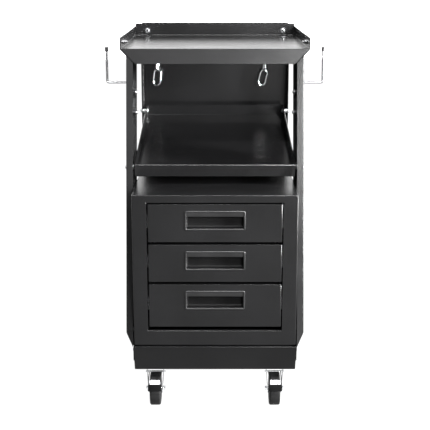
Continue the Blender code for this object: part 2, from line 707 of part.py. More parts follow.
def top_tray():
    w = TRAY_HALF_WIDTH
    front = FACE_Y + TRAY_FRONT
    under = TRAY_FLOOR_Z - SHEET
    mitre_x = EAR_OUTER_X - SHEET - 2 * FIT  # the apron's end, beside the post's flare
    apron_z = TRAY_FLOOR_Z - TRAY_APRON
    foot_x = mitre_x - (EAR_FOOT_Z - apron_z)
    right = [(w, TRAY_FLOOR_Z), (w, under), (mitre_x, EAR_FOOT_Z), (foot_x, apron_z)]
    apron = right + [(-across, up) for across, up in reversed(right)]
    wall_low = (w - SHEET, front, under)
    wall_high = (w, CARCASS_REAR_Y, TRAY_FLOOR_Z + TRAY_SIDE_WALL)

    def leaning_apron(bm):
        add_prism(bm, apron, "Y", 0, SHEET)
        for vert in bm.verts:
            vert.co.y += post_front_y(vert.co.z)

    back_low = (-w, CARCASS_REAR_Y - SHEET, under)
    back_high = (w, CARCASS_REAR_Y, TRAY_FLOOR_Z + TRAY_BACK_WALL)
    piece(
        "top_tray",
        BLACK_PAINT,
        lambda bm: add_box(bm, (-w, front, under), (w, CARCASS_REAR_Y, TRAY_FLOOR_Z)),
        joined=[
            leaning_apron,
            lambda bm: add_box(bm, *mirrored(-1, wall_low, wall_high)),
            lambda bm: add_box(bm, *mirrored(1, wall_low, wall_high)),
            lambda bm: add_box(bm, back_low, back_high),
        ],
    )


# ---- Side hooks ------------------------------------------------------------------------------
def side_hook(name, side):
    y, z = hook_place()
    thickness, width, height = HOOK_PLATE
    plate_x = POST_HALF_WIDTH - SHEET - FIT
    upright_x = POST_HALF_WIDTH + HOOK_REACH
    bend_centre = (upright_x - HOOK_BEND, z + HOOK_BEND)
    route = [(plate_x - thickness / 2, z)]
    route += circle(HOOK_BEND, 5, bend_centre, -math.pi / 2, math.pi / 2)
    route += [(upright_x, z + HOOK_UPRIGHT)]
    path = [(side * x, y, height_z) for x, height_z in route]
    plate_low = (plate_x - thickness, y - width / 2, z + width / 2 - height)
    plate_high = (plate_x, y + width / 2, z + width / 2)
    piece(
        f"{name}_hook",
        ZINC,
        lambda bm: add_wire(bm, path, (0, 1, 0), HOOK_ROD_R, closed=False, sides=12),
        joined=[lambda bm: add_box(bm, *mirrored(side, plate_low, plate_high))],
        smooth=True,
    )
    bore = HOOK_ROD_R + HOLE_FIT
    outer = bore + HOOK_CAP_WALL
    rod_end = z + HOOK_UPRIGHT
    top = rod_end + FIT + HOOK_CAP_WALL
    steps = [
        (rod_end + FIT, bore),
        (top - HOOK_CAP_LENGTH, bore),
        (top - HOOK_CAP_LENGTH, outer),
        (top - 0.3 * outer, outer),
        (top, 0.7 * outer),
    ]
    piece(
        f"{name}_hook_cap",
        BLACK_PLASTIC,
        lambda bm: add_turned(bm, "Z", (side * upright_x, y), steps),
        smooth=True,
    )


# ---- Hanging rings ---------------------------------------------------------------------------
def hanging_ring(name, x, lean):
    y = PANEL_FRONT_Y - RING_AHEAD_OF_PANEL
    turn = Matrix.Rotation(EYE_TURN, 3, "Z")
    eye_foot_z = RING_EYE_Z
    eye = [
        Vector((x, y, eye_foot_z)) + turn @ Vector((0, across, up))
        for across, up in link_path(EYE_LENGTH, EYE_WIDTH, EYE_WIRE_R)
    ]
    stem_z = eye_foot_z + EYE_LENGTH - 2 * EYE_WIRE_R
    plate_x, plate_y, plate_z = EYE_PLATE
    plate_rear = PANEL_FRONT_Y - FIT
    plate_low = (x - plate_x / 2, plate_rear - plate_y, stem_z - plate_z / 2)
    plate_high = (x + plate_x / 2, plate_rear, stem_z + plate_z / 2)
    stem = [(y, 1.2 * EYE_WIRE_R), (plate_rear - plate_y / 2, 1.2 * EYE_WIRE_R)]
    piece(
        f"{name}_ring_eye",
        CHROME,
        lambda bm: add_wire(bm, eye, turn @ Vector((1, 0, 0)), EYE_WIRE_R, closed=True),
        joined=[
            lambda bm: add_turned(bm, "Y", (x, stem_z), stem, 8),
            lambda bm: add_box(bm, plate_low, plate_high),
        ],
        smooth=True,
    )
    hang = EYE_WIRE_R + RING_FIT + RING_WIRE_R - (RING_LENGTH - 2 * RING_WIRE_R)
    path = link_path(RING_LENGTH, RING_WIDTH, RING_WIRE_R)
    pivot = Vector((x, y, eye_foot_z))
    points = [pivot + Vector((across, 0, hang + up)) for across, up in path]
    ring = piece(
        f"{name}_ring",
        CHROME,
        lambda bm: add_wire(bm, points, (0, 1, 0), RING_WIRE_R, closed=True),
        origin=pivot,
        smooth=True,
    )
    ring.rotation_euler.y = lean


# ---- Castors ---------------------------------------------------------------------------------
def castor(name, x, swivel_y, trail, braked):
    """A swivel castor. trail is where the wheel's centre lies from the swivel axis, along Y."""
    plate_x, plate_y, plate_z = CASTOR_PLATE
    plate_top = BASE_BOTTOM_Z - FIT
    race_top = plate_top - plate_z
    race_bottom = race_top - RACEWAY_HEIGHT
    crown_top = race_bottom - FIT
    crown_bottom = crown_top - CROWN_THICKNESS
    head_top = crown_bottom - FIT
    centre = (x, swivel_y)
    front = math.copysign(1, trail)
    kingpin = [
        (plate_top - plate_z / 2, RACEWAY_R),
        (race_bottom, RACEWAY_R),
        (race_bottom, KINGPIN_R),
        (head_top, KINGPIN_R),
        (head_top, KINGPIN_HEAD_R),
        (head_top - KINGPIN_HEAD_HEIGHT, 0.7 * KINGPIN_HEAD_R),
    ]
    plate_low = (x - plate_x / 2, swivel_y - plate_y / 2, race_top)
    plate_high = (x + plate_x / 2, swivel_y + plate_y / 2, plate_top)
    piece(
        f"{name}_plate",
        ZINC,
        lambda bm: add_box(bm, plate_low, plate_high),
        joined=[lambda bm: add_turned(bm, "Z", centre, kingpin, ROUND)],
        smooth=True,
    )

    swivel = joint_empty(f"{name}_swivel", (x, swivel_y, crown_top))
    pin_y, pin_z = swivel_y + trail, WHEEL_Z
    trail_out = abs(trail)
    half = FORK_HALF_LENGTH
    pedal_y = trail_out + PEDAL_PIN_BEYOND_AXLE
    pedal_z = WHEEL_Z + WHEEL_R + PEDAL_PIN_ABOVE_WHEEL
    fork_front_y = pedal_y + 2.2 * PEDAL_PIN_R
    leg = [(-half, crown_top), (-half, crown_bottom - 2 * FORK_SHEET)]
    leg += circle(FORK_EYE_R, 8, (trail_out, WHEEL_Z), math.pi, math.pi)
    leg += [(fork_front_y, pedal_z - FORK_BELOW_PEDAL_PIN), (fork_front_y, crown_top)]
    spread = (FORK_TOP_HALF_WIDTH - FORK_FOOT_HALF_WIDTH) / (crown_top - WHEEL_Z)

    def flip(outline):
        """The outline, given outwards from the swivel axis, turned to the wheel's side."""
        return [(swivel_y + front * y, z) for y, z in outline]

    def fork_leg(bm, side):
        outer = FORK_FOOT_HALF_WIDTH
        add_prism(bm, flip(leg), "X", side * (outer - FORK_SHEET), side * outer)
        for vert in bm.verts:
            vert.co.x += x + side * spread * (vert.co.z - WHEEL_Z)

    crown_y = sorted((swivel_y - front * half, swivel_y + front * fork_front_y))
    crown_low = (x - FORK_TOP_HALF_WIDTH + FORK_SHEET / 2, crown_y[0], crown_bottom)
    crown_high = (x + FORK_TOP_HALF_WIDTH - FORK_SHEET / 2, crown_y[1], crown_top)
    king_hole = KINGPIN_R + HOLE_FIT
    king_bore = [(crown_top + FORK_SHEET, king_hole), (crown_bottom - FORK_SHEET, king_hole)]
    side_reach = FORK_TOP_HALF_WIDTH + FORK_SHEET
    sides = (x - side_reach, x + side_reach)
    cuts = [
        lambda bm: add_turned(bm, "Z", centre, king_bore, ROUND),
        lambda bm: add_cross_hole(bm, (pin_y, pin_z), AXLE_R + HOLE_FIT, *sides),
    ]
    pedal_pin = (swivel_y + front * pedal_y, pedal_z)
    if braked:
        pin_hole = PEDAL_PIN_R + HOLE_FIT
        cuts.append(lambda bm: add_cross_hole(bm, pedal_pin, pin_hole, *sides))
    piece(
        f"{name}_fork",
        CHROME,
        lambda bm: add_box(bm, crown_low, crown_high),
        joined=[lambda bm: fork_leg(bm, -1), lambda bm: fork_leg(bm, 1)],
        cut=cuts,
        origin=swivel.matrix_world.translation,
        parent=swivel,
        smooth=True,
    )

    nut = hexagon(1.6 * AXLE_R, (pin_y, pin_z))
    nut_start = FORK_FOOT_HALF_WIDTH + AXLE_NUT_GAP
    nut_end = nut_start + AXLE_NUT_LENGTH
    axle = [
        (-nut_end, nut),
        (-nut_start, nut),
        (-nut_start, AXLE_R),
        (nut_start, AXLE_R),
        (nut_start, nut),
        (nut_end, nut),
    ]
    axle = [(x + along, shape) for along, shape in axle]
    wheel_spin = joint_empty(f"{name}_wheel_spin", (x, pin_y, pin_z), swivel)
    piece(
        f"{name}_axle",
        CHROME,
        lambda bm: add_turned(bm, "X", (pin_y, pin_z), axle),
        origin=(x, pin_y, pin_z),
        parent=swivel,
        smooth=True,
    )
    bore = AXLE_R + HOLE_FIT
    tread = WHEEL_R - TREAD_CHAMFER
    rim = WHEEL_R - TYRE_DEPTH
    wheel = [
        (HUB_HALF_WIDTH, bore),
        (HUB_HALF_WIDTH, HUB_R),
        (0.6 * WHEEL_HALF_WIDTH, HUB_R + HUB_FLARE),
        (0.6 * WHEEL_HALF_WIDTH, rim),
        (WHEEL_HALF_WIDTH, rim + HUB_FLARE),
        (WHEEL_HALF_WIDTH, tread),
        (0.75 * WHEEL_HALF_WIDTH, WHEEL_R),
    ]
    wheel += [(-along, radius) for along, radius in reversed(wheel)]
    piece(
        f"{name}_wheel",
        GREY_RUBBER,
        lambda bm: add_ring_solid(
            bm, "X", (pin_y, pin_z), [(x + along, radius) for along, radius in wheel], 32
        ),
        origin=(x, pin_y, pin_z),
        parent=wheel_spin,
        smooth=True,
    )
    if not braked:
        return
    toe_y = trail_out + WHEEL_R + PEDAL_TOE[0]
    toe_z = pedal_z - PEDAL_TOE[1]
    knee = (pedal_y + PEDAL_KNEE[0], pedal_z - PEDAL_KNEE[1])
    s = PEDAL_SHEET
    tread_plate = [
        (pedal_y, pedal_z + s / 2),
        (knee[0], knee[1] + s / 2),
        (toe_y, toe_z),
        (toe_y, toe_z - s - PEDAL_LIP),
        (toe_y - s, toe_z - s - PEDAL_LIP),
        (toe_y - s, toe_z - s),
        (knee[0], knee[1] - s / 2),
        (pedal_y, pedal_z - s / 2),
    ]
    pin_half = FORK_TOP_HALF_WIDTH + PEDAL_PIN_PROUD
    pin = [(x - pin_half, PEDAL_PIN_R), (x + pin_half, PEDAL_PIN_R)]
    pedal_empty = joint_empty(f"{name}_pedal_hinge", (x, *pedal_pin), swivel)
    piece(
        f"{name}_brake_pedal",
        BLACK_PLASTIC,
        lambda bm: add_prism(bm, flip(tread_plate), "X", x - PEDAL_HALF_WIDTH, x + PEDAL_HALF_WIDTH),
        joined=[lambda bm: add_turned(bm, "X", pedal_pin, pin)],
        origin=(x, *pedal_pin),
        parent=pedal_empty,
    )


# ---- The whole chest -------------------------------------------------------------------------
base_pan()
cabinet()
drawers()
slanted_shelf()
post("left_post", -1)
post("right_post", 1)
back_panel()
top_tray()
side_hook("left", -1)
side_hook("right", 1)
for ring_name, ring_side, ring_inset, ring_lean in RING_PLACES:
    hanging_ring(ring_name, ring_side * (BACK_PANEL_HALF_WIDTH - ring_inset), ring_lean)
front_swivel_y = FACE_Y + CASTOR_FRONT
rear_swivel_y = REAR_Y - CASTOR_REAR
for side_name, castor_x in (("left", -CASTOR_X), ("right", CASTOR_X)):
    castor(f"front_{side_name}_castor", castor_x, front_swivel_y, -CASTOR_TRAIL, braked=True)
    castor(f"rear_{side_name}_castor", castor_x, rear_swivel_y, CASTOR_TRAIL, braked=False)
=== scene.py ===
"""Looks of the rolling tool chest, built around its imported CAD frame.

Metres, +Z up, the front faces -Y. Every finished object keeps its place in its mesh.
"""

import math

import bmesh
import bpy
from mathutils import Matrix, Vector


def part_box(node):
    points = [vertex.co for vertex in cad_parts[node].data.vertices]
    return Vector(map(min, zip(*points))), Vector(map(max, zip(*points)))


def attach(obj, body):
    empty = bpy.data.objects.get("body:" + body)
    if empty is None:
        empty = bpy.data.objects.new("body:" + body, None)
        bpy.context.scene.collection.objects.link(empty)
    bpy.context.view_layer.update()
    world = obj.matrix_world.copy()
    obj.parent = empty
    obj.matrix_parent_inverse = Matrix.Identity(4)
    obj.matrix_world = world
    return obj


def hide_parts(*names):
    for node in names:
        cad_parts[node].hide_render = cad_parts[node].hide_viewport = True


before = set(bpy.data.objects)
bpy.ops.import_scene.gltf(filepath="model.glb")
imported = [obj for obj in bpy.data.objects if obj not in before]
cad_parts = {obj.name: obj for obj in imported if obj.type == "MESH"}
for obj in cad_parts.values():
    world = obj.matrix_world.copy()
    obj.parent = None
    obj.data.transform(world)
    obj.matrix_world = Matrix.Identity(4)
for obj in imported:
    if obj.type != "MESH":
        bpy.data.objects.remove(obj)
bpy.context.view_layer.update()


# Camera, light and floor. The chest stands on lit white paper in a white room. A softbox at the
# front right is the key, a tall strip on the right and a long one overhead draw the edges, and
# two faint fills stand far in front. The room behind the camera is dim.
scene = bpy.context.scene
scene.view_settings.view_transform = "Standard"

camera_data = bpy.data.cameras.new("camera")
camera_data.lens = 83.72
camera_data.sensor_width = 36.0
camera = bpy.data.objects.new("camera", camera_data)
camera.location = (0.0, -2.5125, 1.038)
camera.rotation_euler = (math.radians(76.0), 0.0, 0.0)
scene.collection.objects.link(camera)
scene.camera = camera

FRONT_ROOM = 0.08  # brightness of the dim room behind the camera
WHITE_ROOM = 2.34  # brightness of the rest of the room

world = bpy.data.worlds.new("studio")
scene.world = world
world.use_nodes = True
nodes, links = world.node_tree.nodes, world.node_tree.links
direction = nodes.new("ShaderNodeTexCoord")
split = nodes.new("ShaderNodeSeparateXYZ")
across_room = nodes.new("ShaderNodeMapRange")  # 0 towards the front, 1 towards the rear
across_room.inputs["From Min"].default_value = -0.50
across_room.inputs["From Max"].default_value = 0.10
up_room = nodes.new("ShaderNodeMapRange")  # 0 near the floor, 1 overhead
up_room.inputs["From Min"].default_value = 0.55
up_room.inputs["From Max"].default_value = 0.90
above_rear = nodes.new("ShaderNodeMapRange")  # the rear wall is white at its foot and dims above
above_rear.inputs["From Min"].default_value = 0.17
above_rear.inputs["From Max"].default_value = 0.30
above_rear.inputs["To Min"].default_value = 1.0
above_rear.inputs["To Max"].default_value = 0.25
rear_share = nodes.new("ShaderNodeMath")
rear_share.operation = "MULTIPLY"
white_share = nodes.new("ShaderNodeMath")
white_share.operation = "MAXIMUM"
room_strength = nodes.new("ShaderNodeMapRange")
room_strength.inputs["To Min"].default_value = FRONT_ROOM
room_strength.inputs["To Max"].default_value = WHITE_ROOM
background = nodes["Background"]
background.inputs["Color"].default_value = (1.0, 1.0, 1.0, 1.0)
links.new(direction.outputs["Generated"], split.inputs["Vector"])
links.new(split.outputs["Y"], across_room.inputs["Value"])
links.new(split.outputs["Z"], up_room.inputs["Value"])
links.new(split.outputs["Z"], above_rear.inputs["Value"])
links.new(across_room.outputs["Result"], rear_share.inputs[0])
links.new(above_rear.outputs["Result"], rear_share.inputs[1])
links.new(rear_share.outputs["Value"], white_share.inputs[0])
links.new(up_room.outputs["Result"], white_share.inputs[1])
links.new(white_share.outputs["Value"], room_strength.inputs["Value"])
links.new(room_strength.outputs["Result"], background.inputs["Strength"])


def softbox(name, place, aim, size, power):
    """A rectangular studio light at place, turned to aim."""
    light = bpy.data.lights.new(name, "AREA")
    light.shape = "RECTANGLE"
    light.size, light.size_y = size
    light.energy = power
    lamp = bpy.data.objects.new(name, light)
    lamp.location = place
    lamp.rotation_euler = (Vector(aim) - Vector(place)).to_track_quat("-Z", "Y").to_euler()
    scene.collection.objects.link(lamp)
    return lamp


softbox("key_softbox", (1.5, -3.9, 1.9), (0.0, 0.0, 0.75), (1.2, 0.7), 370.0)
softbox("right_strip", (3.0, -1.2, 1.2), (0.0, 0.0, 0.6), (0.6, 2.0), 1250.0)
softbox("low_right_fill", (1.2, -6.0, 0.45), (0.0, 0.0, 0.6), (2.4, 0.9), 24.0)
softbox("high_fill", (0.0, -5.0, 2.4), (0.0, 0.0, 0.7), (3.0, 1.0), 15.0)
softbox("edge_strip", (0.0, -2.3, 3.0), (0.0, 0.0, 0.6), (3.0, 0.25), 270.0)


FLOOR_REACH = 9.0  # the floor's extent to each side, and in front and behind
PAPER_EDGE = -0.41  # the white paper ends here, and the studio's own floor goes on towards the camera


def ground(name, near, far, height):
    """A flat piece of studio floor between two distances along Y."""
    mesh = bpy.data.meshes.new(name)
    corners = [(x, y, height) for x, y in (
        (-FLOOR_REACH, near), (FLOOR_REACH, near), (FLOOR_REACH, far), (-FLOOR_REACH, far))]
    mesh.from_pydata(corners, [], [(0, 1, 2, 3)])
    made = bpy.data.objects.new(name, mesh)
    scene.collection.objects.link(made)
    return mesh


paper_mesh = ground("white_paper", PAPER_EDGE, FLOOR_REACH, 0.0)
floor_mesh = ground("studio_floor", -FLOOR_REACH, PAPER_EDGE, -0.001)


def new_material(name):
    """An empty node material: its tree and its Principled shader."""
    made = bpy.data.materials.new(name)
    made.use_nodes = True
    return made, made.node_tree, made.node_tree.nodes["Principled BSDF"]


def add_noise(tree, scale, detail, stretch=(1.0, 1.0, 1.0)):
    """A noise texture in object coordinates."""
    place = tree.nodes.new("ShaderNodeTexCoord")
    mapping = tree.nodes.new("ShaderNodeMapping")
    mapping.inputs["Scale"].default_value = stretch
    noise = tree.nodes.new("ShaderNodeTexNoise")
    noise.inputs["Scale"].default_value = scale
    noise.inputs["Detail"].default_value = detail
    tree.links.new(place.outputs["Object"], mapping.inputs["Vector"])
    tree.links.new(mapping.outputs["Vector"], noise.inputs["Vector"])
    return noise


def spread_value(tree, noise, low, high, socket):
    """Drives a number socket between low and high with a noise."""
    spread = tree.nodes.new("ShaderNodeMapRange")
    spread.inputs["From Min"].default_value = 0.3
    spread.inputs["From Max"].default_value = 0.7
    spread.inputs["To Min"].default_value = low
    spread.inputs["To Max"].default_value = high
    tree.links.new(noise.outputs["Fac"], spread.inputs["Value"])
    tree.links.new(spread.outputs["Result"], socket)


def spread_colour(tree, noise, dark, light, shader):
    """Drives the base colour between two colours with a noise."""
    ramp = tree.nodes.new("ShaderNodeValToRGB")
    ramp.color_ramp.elements[0].position = 0.3
    ramp.color_ramp.elements[0].color = (*dark, 1.0)
    ramp.color_ramp.elements[1].position = 0.7
    ramp.color_ramp.elements[1].color = (*light, 1.0)
    tree.links.new(noise.outputs["Fac"], ramp.inputs["Fac"])
    tree.links.new(ramp.outputs["Color"], shader.inputs["Base Color"])


def add_bump(tree, noise, strength, height, shader):
    """Raises the surface by a noise. height is the relief in metres."""
    bump = tree.nodes.new("ShaderNodeBump")
    bump.inputs["Strength"].default_value = strength
    bump.inputs["Distance"].default_value = height
    tree.links.new(noise.outputs["Fac"], bump.inputs["Height"])
    tree.links.new(bump.outputs["Normal"], shader.inputs["Normal"])


paper, tree, shader = new_material("lit_white_paper")
spread_colour(tree, add_noise(tree, 3.0, 2.0), (0.045, 0.045, 0.045), (0.055, 0.055, 0.055), shader)
shader.inputs["Roughness"].default_value = 0.9
shader.inputs["Specular IOR Level"].default_value = 0.0
shader.inputs["Emission Color"].default_value = (1.0, 1.0, 1.0, 1.0)
shader.inputs["Emission Strength"].default_value = 0.96
paper_mesh.materials.append(paper)

floor_paint, tree, shader = new_material("grey_studio_floor")
spread_colour(tree, add_noise(tree, 3.0, 2.0), (0.085, 0.085, 0.085), (0.10, 0.10, 0.10), shader)
shader.inputs["Roughness"].default_value = 0.9
shader.inputs["Specular IOR Level"].default_value = 0.0
floor_mesh.materials.append(floor_paint)


# Base pan. A tray of 1.2 mm steel folded up on four sides, its front raked back towards the
# foot and a narrow flange turned in around its top. The same black powder coat as the rest,
# its shine turned down as painted shade that darkens the kick panel.
SHEET = 0.0012
FOLD = 0.0021  # outer radius of a bend


def black_coat(name, gloss):
    """Black powder coat with its faint orange peel. gloss is the strength of its shine."""
    made, tree, shader = new_material(name)
    noise = add_noise(tree, 9.0, 3.0)
    spread_colour(tree, noise, (0.0026, 0.0026, 0.0027), (0.0036, 0.0036, 0.0038), shader)
    spread_value(tree, add_noise(tree, 14.0, 4.0), 0.21, 0.25, shader.inputs["Roughness"])
    shader.inputs["Specular IOR Level"].default_value = gloss
    add_bump(tree, add_noise(tree, 700.0, 2.0), 0.10, 0.0002, shader)
    return made


powder_coat = black_coat("black_powder_coat", 0.26)
# The same coat with its shine turned down, for the base pan: painted shade that darkens the kick panel.
powder_coat_dulled_for_shade = black_coat("black_powder_coat_dulled_as_painted_shade", 0.12)


def finish_piece(name, bm, material, body, stands_for=()):
    """Turns a bmesh into a finished piece that rides on a CAD body."""
    mesh = bpy.data.meshes.new(name)
    bm.to_mesh(mesh)
    bm.free()
    mesh.materials.append(material)
    made = bpy.data.objects.new(name, mesh)
    scene.collection.objects.link(made)
    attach(made, body)
    if stands_for:
        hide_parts(*stands_for)
    return made


def smooth_by_angle(bm, degrees):
    """Smooth shading, with edges sharper than the angle left crisp."""
    for face in bm.faces:
        face.smooth = True
    for edge in bm.edges:
        if len(edge.link_faces) == 2 and edge.calc_face_angle(0.0) > math.radians(degrees):
            edge.smooth = False


def bend(bm, radius, steps=4, least_angle=10.0):
    """Rounds every fold between two faces."""
    folds = [
        e for e in bm.edges
        if len(e.link_faces) == 2 and math.degrees(e.calc_face_angle(0.0)) > least_angle
    ]
    rounded = bmesh.ops.bevel(
        bm, geom=folds, offset=radius, offset_type="OFFSET", affect="EDGES", segments=steps,
        profile=0.5, clamp_overlap=True, material=-1, loop_slide=True)
    for face in rounded["faces"]:
        face.smooth = True


def folded(name, faces, inside, body, stands_for=(), radius=FOLD, wall=SHEET, material=None,
           hem=0.00035):
    """A folded sheet. faces are corner lists of its outer skin, and inside is a point on the far
    side of the first face from the viewer. The wall grows inwards from the skin. Flat faces are
    shaded flat and bends smooth. With no radius the corners stay as given, all of them smooth."""
    bm = bmesh.new()
    for corners in faces:
        bm.faces.new([bm.verts.new(corner) for corner in corners])
    bmesh.ops.remove_doubles(bm, verts=bm.verts, dist=0.00002)
    bmesh.ops.recalc_face_normals(bm, faces=bm.faces)
    bm.faces.ensure_lookup_table()
    first = bm.faces[0]
    if first.normal.dot(first.calc_center_median() - Vector(inside)) < 0:
        bmesh.ops.reverse_faces(bm, faces=bm.faces)
    if radius:
        bend(bm, radius)
    else:
        smooth_by_angle(bm, 34.0)
    made = finish_piece(name, bm, material or powder_coat, body, stands_for)
    thicken = made.modifiers.new("Wall", "SOLIDIFY")
    thicken.thickness = wall
    thicken.offset = -1.0
    thicken.use_even_offset = True
    thicken.use_quality_normals = True
    soften = made.modifiers.new("Rim", "BEVEL")
    soften.width = hem
    soften.segments = 2
    soften.limit_method = "ANGLE"
    soften.angle_limit = math.radians(60.0)
    soften.use_clamp_overlap = True
    return made


def box_corners(low, high):
    """The faces of a box by side name, as corner lists."""
    (x0, y0, z0), (x1, y1, z1) = low, high
    return {
        "left": [(x0, y0, z0), (x0, y1, z0), (x0, y1, z1), (x0, y0, z1)],
        "right": [(x1, y0, z0), (x1, y1, z0), (x1, y1, z1), (x1, y0, z1)],
        "front": [(x0, y0, z0), (x1, y0, z0), (x1, y0, z1), (x0, y0, z1)],
        "rear": [(x0, y1, z0), (x1, y1, z0), (x1, y1, z1), (x0, y1, z1)],
        "bottom": [(x0, y0, z0), (x1, y0, z0), (x1, y1, z0), (x0, y1, z0)],
        "top": [(x0, y0, z1), (x1, y0, z1), (x1, y1, z1), (x0, y1, z1)],
    }


def frame_around(outer, inner):
    """Four faces between two rectangles, each given as four corners in the same order."""
    return [
        [outer[i], outer[(i + 1) % 4], inner[(i + 1) % 4], inner[i]]
        for i in range(4)
    ]


BASE_LIP = 0.012
KICK_RAKE = 0.026  # how far the kick panel's foot is set back
pan_low, pan_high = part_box("base_pan")
pan_sides = box_corners(pan_low, pan_high)
for side in ("bottom", "left", "right", "front"):
    pan_sides[side] = [
        (x, y + KICK_RAKE if y == pan_low.y and z == pan_low.z else y, z)
        for x, y, z in pan_sides[side]
    ]
lip_inside = box_corners(
    (pan_low.x + BASE_LIP, pan_low.y + BASE_LIP, pan_low.z),
    (pan_high.x - BASE_LIP, pan_high.y - BASE_LIP, pan_high.z))["top"]
folded(
    "base_pan_folded",
    [pan_sides[side] for side in ("bottom", "front", "rear", "left", "right")]
    + frame_around(pan_sides["top"], lip_inside),
    (0.0, 0.0, pan_high.z), "chest", ["base_pan"], material=powder_coat_dulled_for_shade)


# Cabinet. One folded steel box around the drawers: a top, two sides, a rear and a front frame
# whose opening has its top and bottom edges turned in. A shallow raised foot stands on the pan.
CABINET_FOOT = 0.006  # how far the foot is set in
FOOT_HEIGHT = 0.0042
OPENING_RETURN = 0.010
DRAWER_TOP_GAP = 0.003
DRAWER_BOTTOM_GAP = 0.0095
opening_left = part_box("outer_rail_1_left")[0].x
opening_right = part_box("outer_rail_1_right")[1].x
opening_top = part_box("drawer_1_front")[1].z + DRAWER_TOP_GAP
opening_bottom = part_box("drawer_3_front")[0].z - DRAWER_BOTTOM_GAP
shell_low, shell_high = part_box("cabinet_shell")
shell_foot_z = shell_low.z
shell_low.z = shell_foot_z + FOOT_HEIGHT
shell = box_corners(shell_low, shell_high)
foot = box_corners(
    (shell_low.x + CABINET_FOOT, shell_low.y + CABINET_FOOT, shell_foot_z),
    (shell_high.x - CABINET_FOOT, shell_high.y - CABINET_FOOT, shell_low.z))
opening = box_corners(
    (opening_left, shell_low.y, opening_bottom),
    (opening_right, shell_low.y + OPENING_RETURN, opening_top))
folded(
    "cabinet_folded",
    frame_around(shell["front"], opening["front"])
    + [opening["top"], opening["bottom"]]
    + [shell[side] for side in ("top", "left", "right", "rear")]
    + frame_around(shell["bottom"], foot["top"])
    + [foot[side] for side in ("front", "rear", "left", "right", "bottom")],
    (0.0, 0.0, 0.35), "chest", ["cabinet_shell"], radius=0.0019)


# Slide panels. A folded channel welded inside each side of the cabinet carries the three slides.
for side, sign in (("left", -1), ("right", 1)):
    low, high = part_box(f"{side}_slide_panel")
    reach_x = high.x if sign > 0 else low.x
    faces = box_corners(low, high)
    web = faces["left"] if sign > 0 else faces["right"]
    folded(
        f"{side}_slide_panel_folded", [web, faces["top"], faces["bottom"]],
        (reach_x, (low.y + high.y) / 2, (low.z + high.z) / 2), "chest", [f"{side}_slide_panel"])


# Drawer fronts. Each is a steel pan 20 mm deep, folded back on all four sides, with a slot cut
# for its recessed handle.
HANDLE_LAP = 0.0032  # the handle's frame laps this far over the slot's edge
for number in (1, 2, 3):
    low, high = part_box(f"drawer_{number}_front")
    handle_low, handle_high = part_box(f"drawer_{number}_handle")
    faces = box_corners(low, high)
    slot = box_corners(
        (handle_low.x + HANDLE_LAP, low.y, handle_low.z + HANDLE_LAP),
        (handle_high.x - HANDLE_LAP, low.y, handle_high.z - HANDLE_LAP))["front"]
    folded(
        f"drawer_{number}_front_folded",
        frame_around(faces["front"], slot) + [faces[side] for side in ("top", "bottom", "left", "right")],
        (low + high) / 2, f"drawer_{number}", [f"drawer_{number}_front"], radius=0.0020)


# Drawer boxes. An open steel box behind each front, with its rim turned in so that no raw edge
# meets a hand.
BOX_RIM = 0.0045
for number in (1, 2, 3):
    low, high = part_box(f"drawer_{number}_box")
    faces = box_corners(low, high)
    rim = box_corners(
        (low.x + BOX_RIM, low.y + BOX_RIM, high.z), (high.x - BOX_RIM, high.y - BOX_RIM, high.z))["top"]
    folded(
        f"drawer_{number}_box_folded",
        [faces[side] for side in ("bottom", "front", "rear", "left", "right")]
        + frame_around(faces["top"], rim),
        (0.0, 0.0, high.z), f"drawer_{number}", [f"drawer_{number}_box"], radius=0.0017)


# Drawer handles. Black moulded plastic: a thin frame lies on the drawer front around a cup, and
# a strip across the cup's top gives the fingers an edge to pull on. The cup's inside faces take a
# darker, duller plastic as painted shade in the recess.
HANDLE_RIM = 0.0035
HANDLE_MOUTH = 0.027  # clear height under the strip
STRIP_THICKNESS = 0.0033
BEAD_WIDTH = 0.0042
CUP_ROUND = 0.0030  # inside corner at the cup's back
CUP_WALL = 0.0008

moulded_plastic, tree, shader = new_material("black_moulded_plastic")
spread_colour(tree, add_noise(tree, 20.0, 2.0), (0.0035, 0.0035, 0.0036), (0.0050, 0.0050, 0.0052), shader)
spread_value(tree, add_noise(tree, 40.0, 3.0), 0.30, 0.38, shader.inputs["Roughness"])
shader.inputs["Specular IOR Level"].default_value = 0.35
add_bump(tree, add_noise(tree, 1400.0, 3.0), 0.12, 0.0002, shader)

# Darker, duller black plastic. On the pedal toe caps it is the caps' own matte plastic; inside the handle
# cups it is painted shade.
textured_plastic_and_cup_shade, tree, shader = new_material("black_textured_plastic_and_painted_cup_shade")
spread_colour(tree, add_noise(tree, 20.0, 2.0), (0.0014, 0.0014, 0.0015), (0.0022, 0.0022, 0.0023), shader)
spread_value(tree, add_noise(tree, 40.0, 3.0), 0.42, 0.52, shader.inputs["Roughness"])
shader.inputs["Specular IOR Level"].default_value = 0.07
add_bump(tree, add_noise(tree, 1800.0, 3.0), 0.25, 0.0002, shader)


def arc(centre, radius, start, sweep, steps):
    """Points of an arc, both ends included."""
    turns = [start + sweep * i / steps for i in range(steps + 1)]
    return [(centre[0] + radius * math.cos(t), centre[1] + radius * math.sin(t)) for t in turns]


def rounded_rectangle(low, high, corner, steps=4):
    """The outline of a rectangle with round corners, as points from its lower right corner on."""
    (u0, v0), (u1, v1) = low, high
    c = corner
    outline = arc((u1 - c, v0 + c), c, -math.pi / 2, math.pi / 2, steps)
    outline += arc((u1 - c, v1 - c), c, 0.0, math.pi / 2, steps)
    outline += arc((u0 + c, v1 - c), c, math.pi / 2, math.pi / 2, steps)
    outline += arc((u0 + c, v0 + c), c, math.pi, math.pi / 2, steps)
    return outline


def skin_between(rows):
    """The faces between closed rows of equally many points."""
    faces = []
    for row, following in zip(rows, rows[1:]):
        for i in range(len(row)):
            j = (i + 1) % len(row)
            faces.append([row[i], row[j], following[j], following[i]])
    return faces


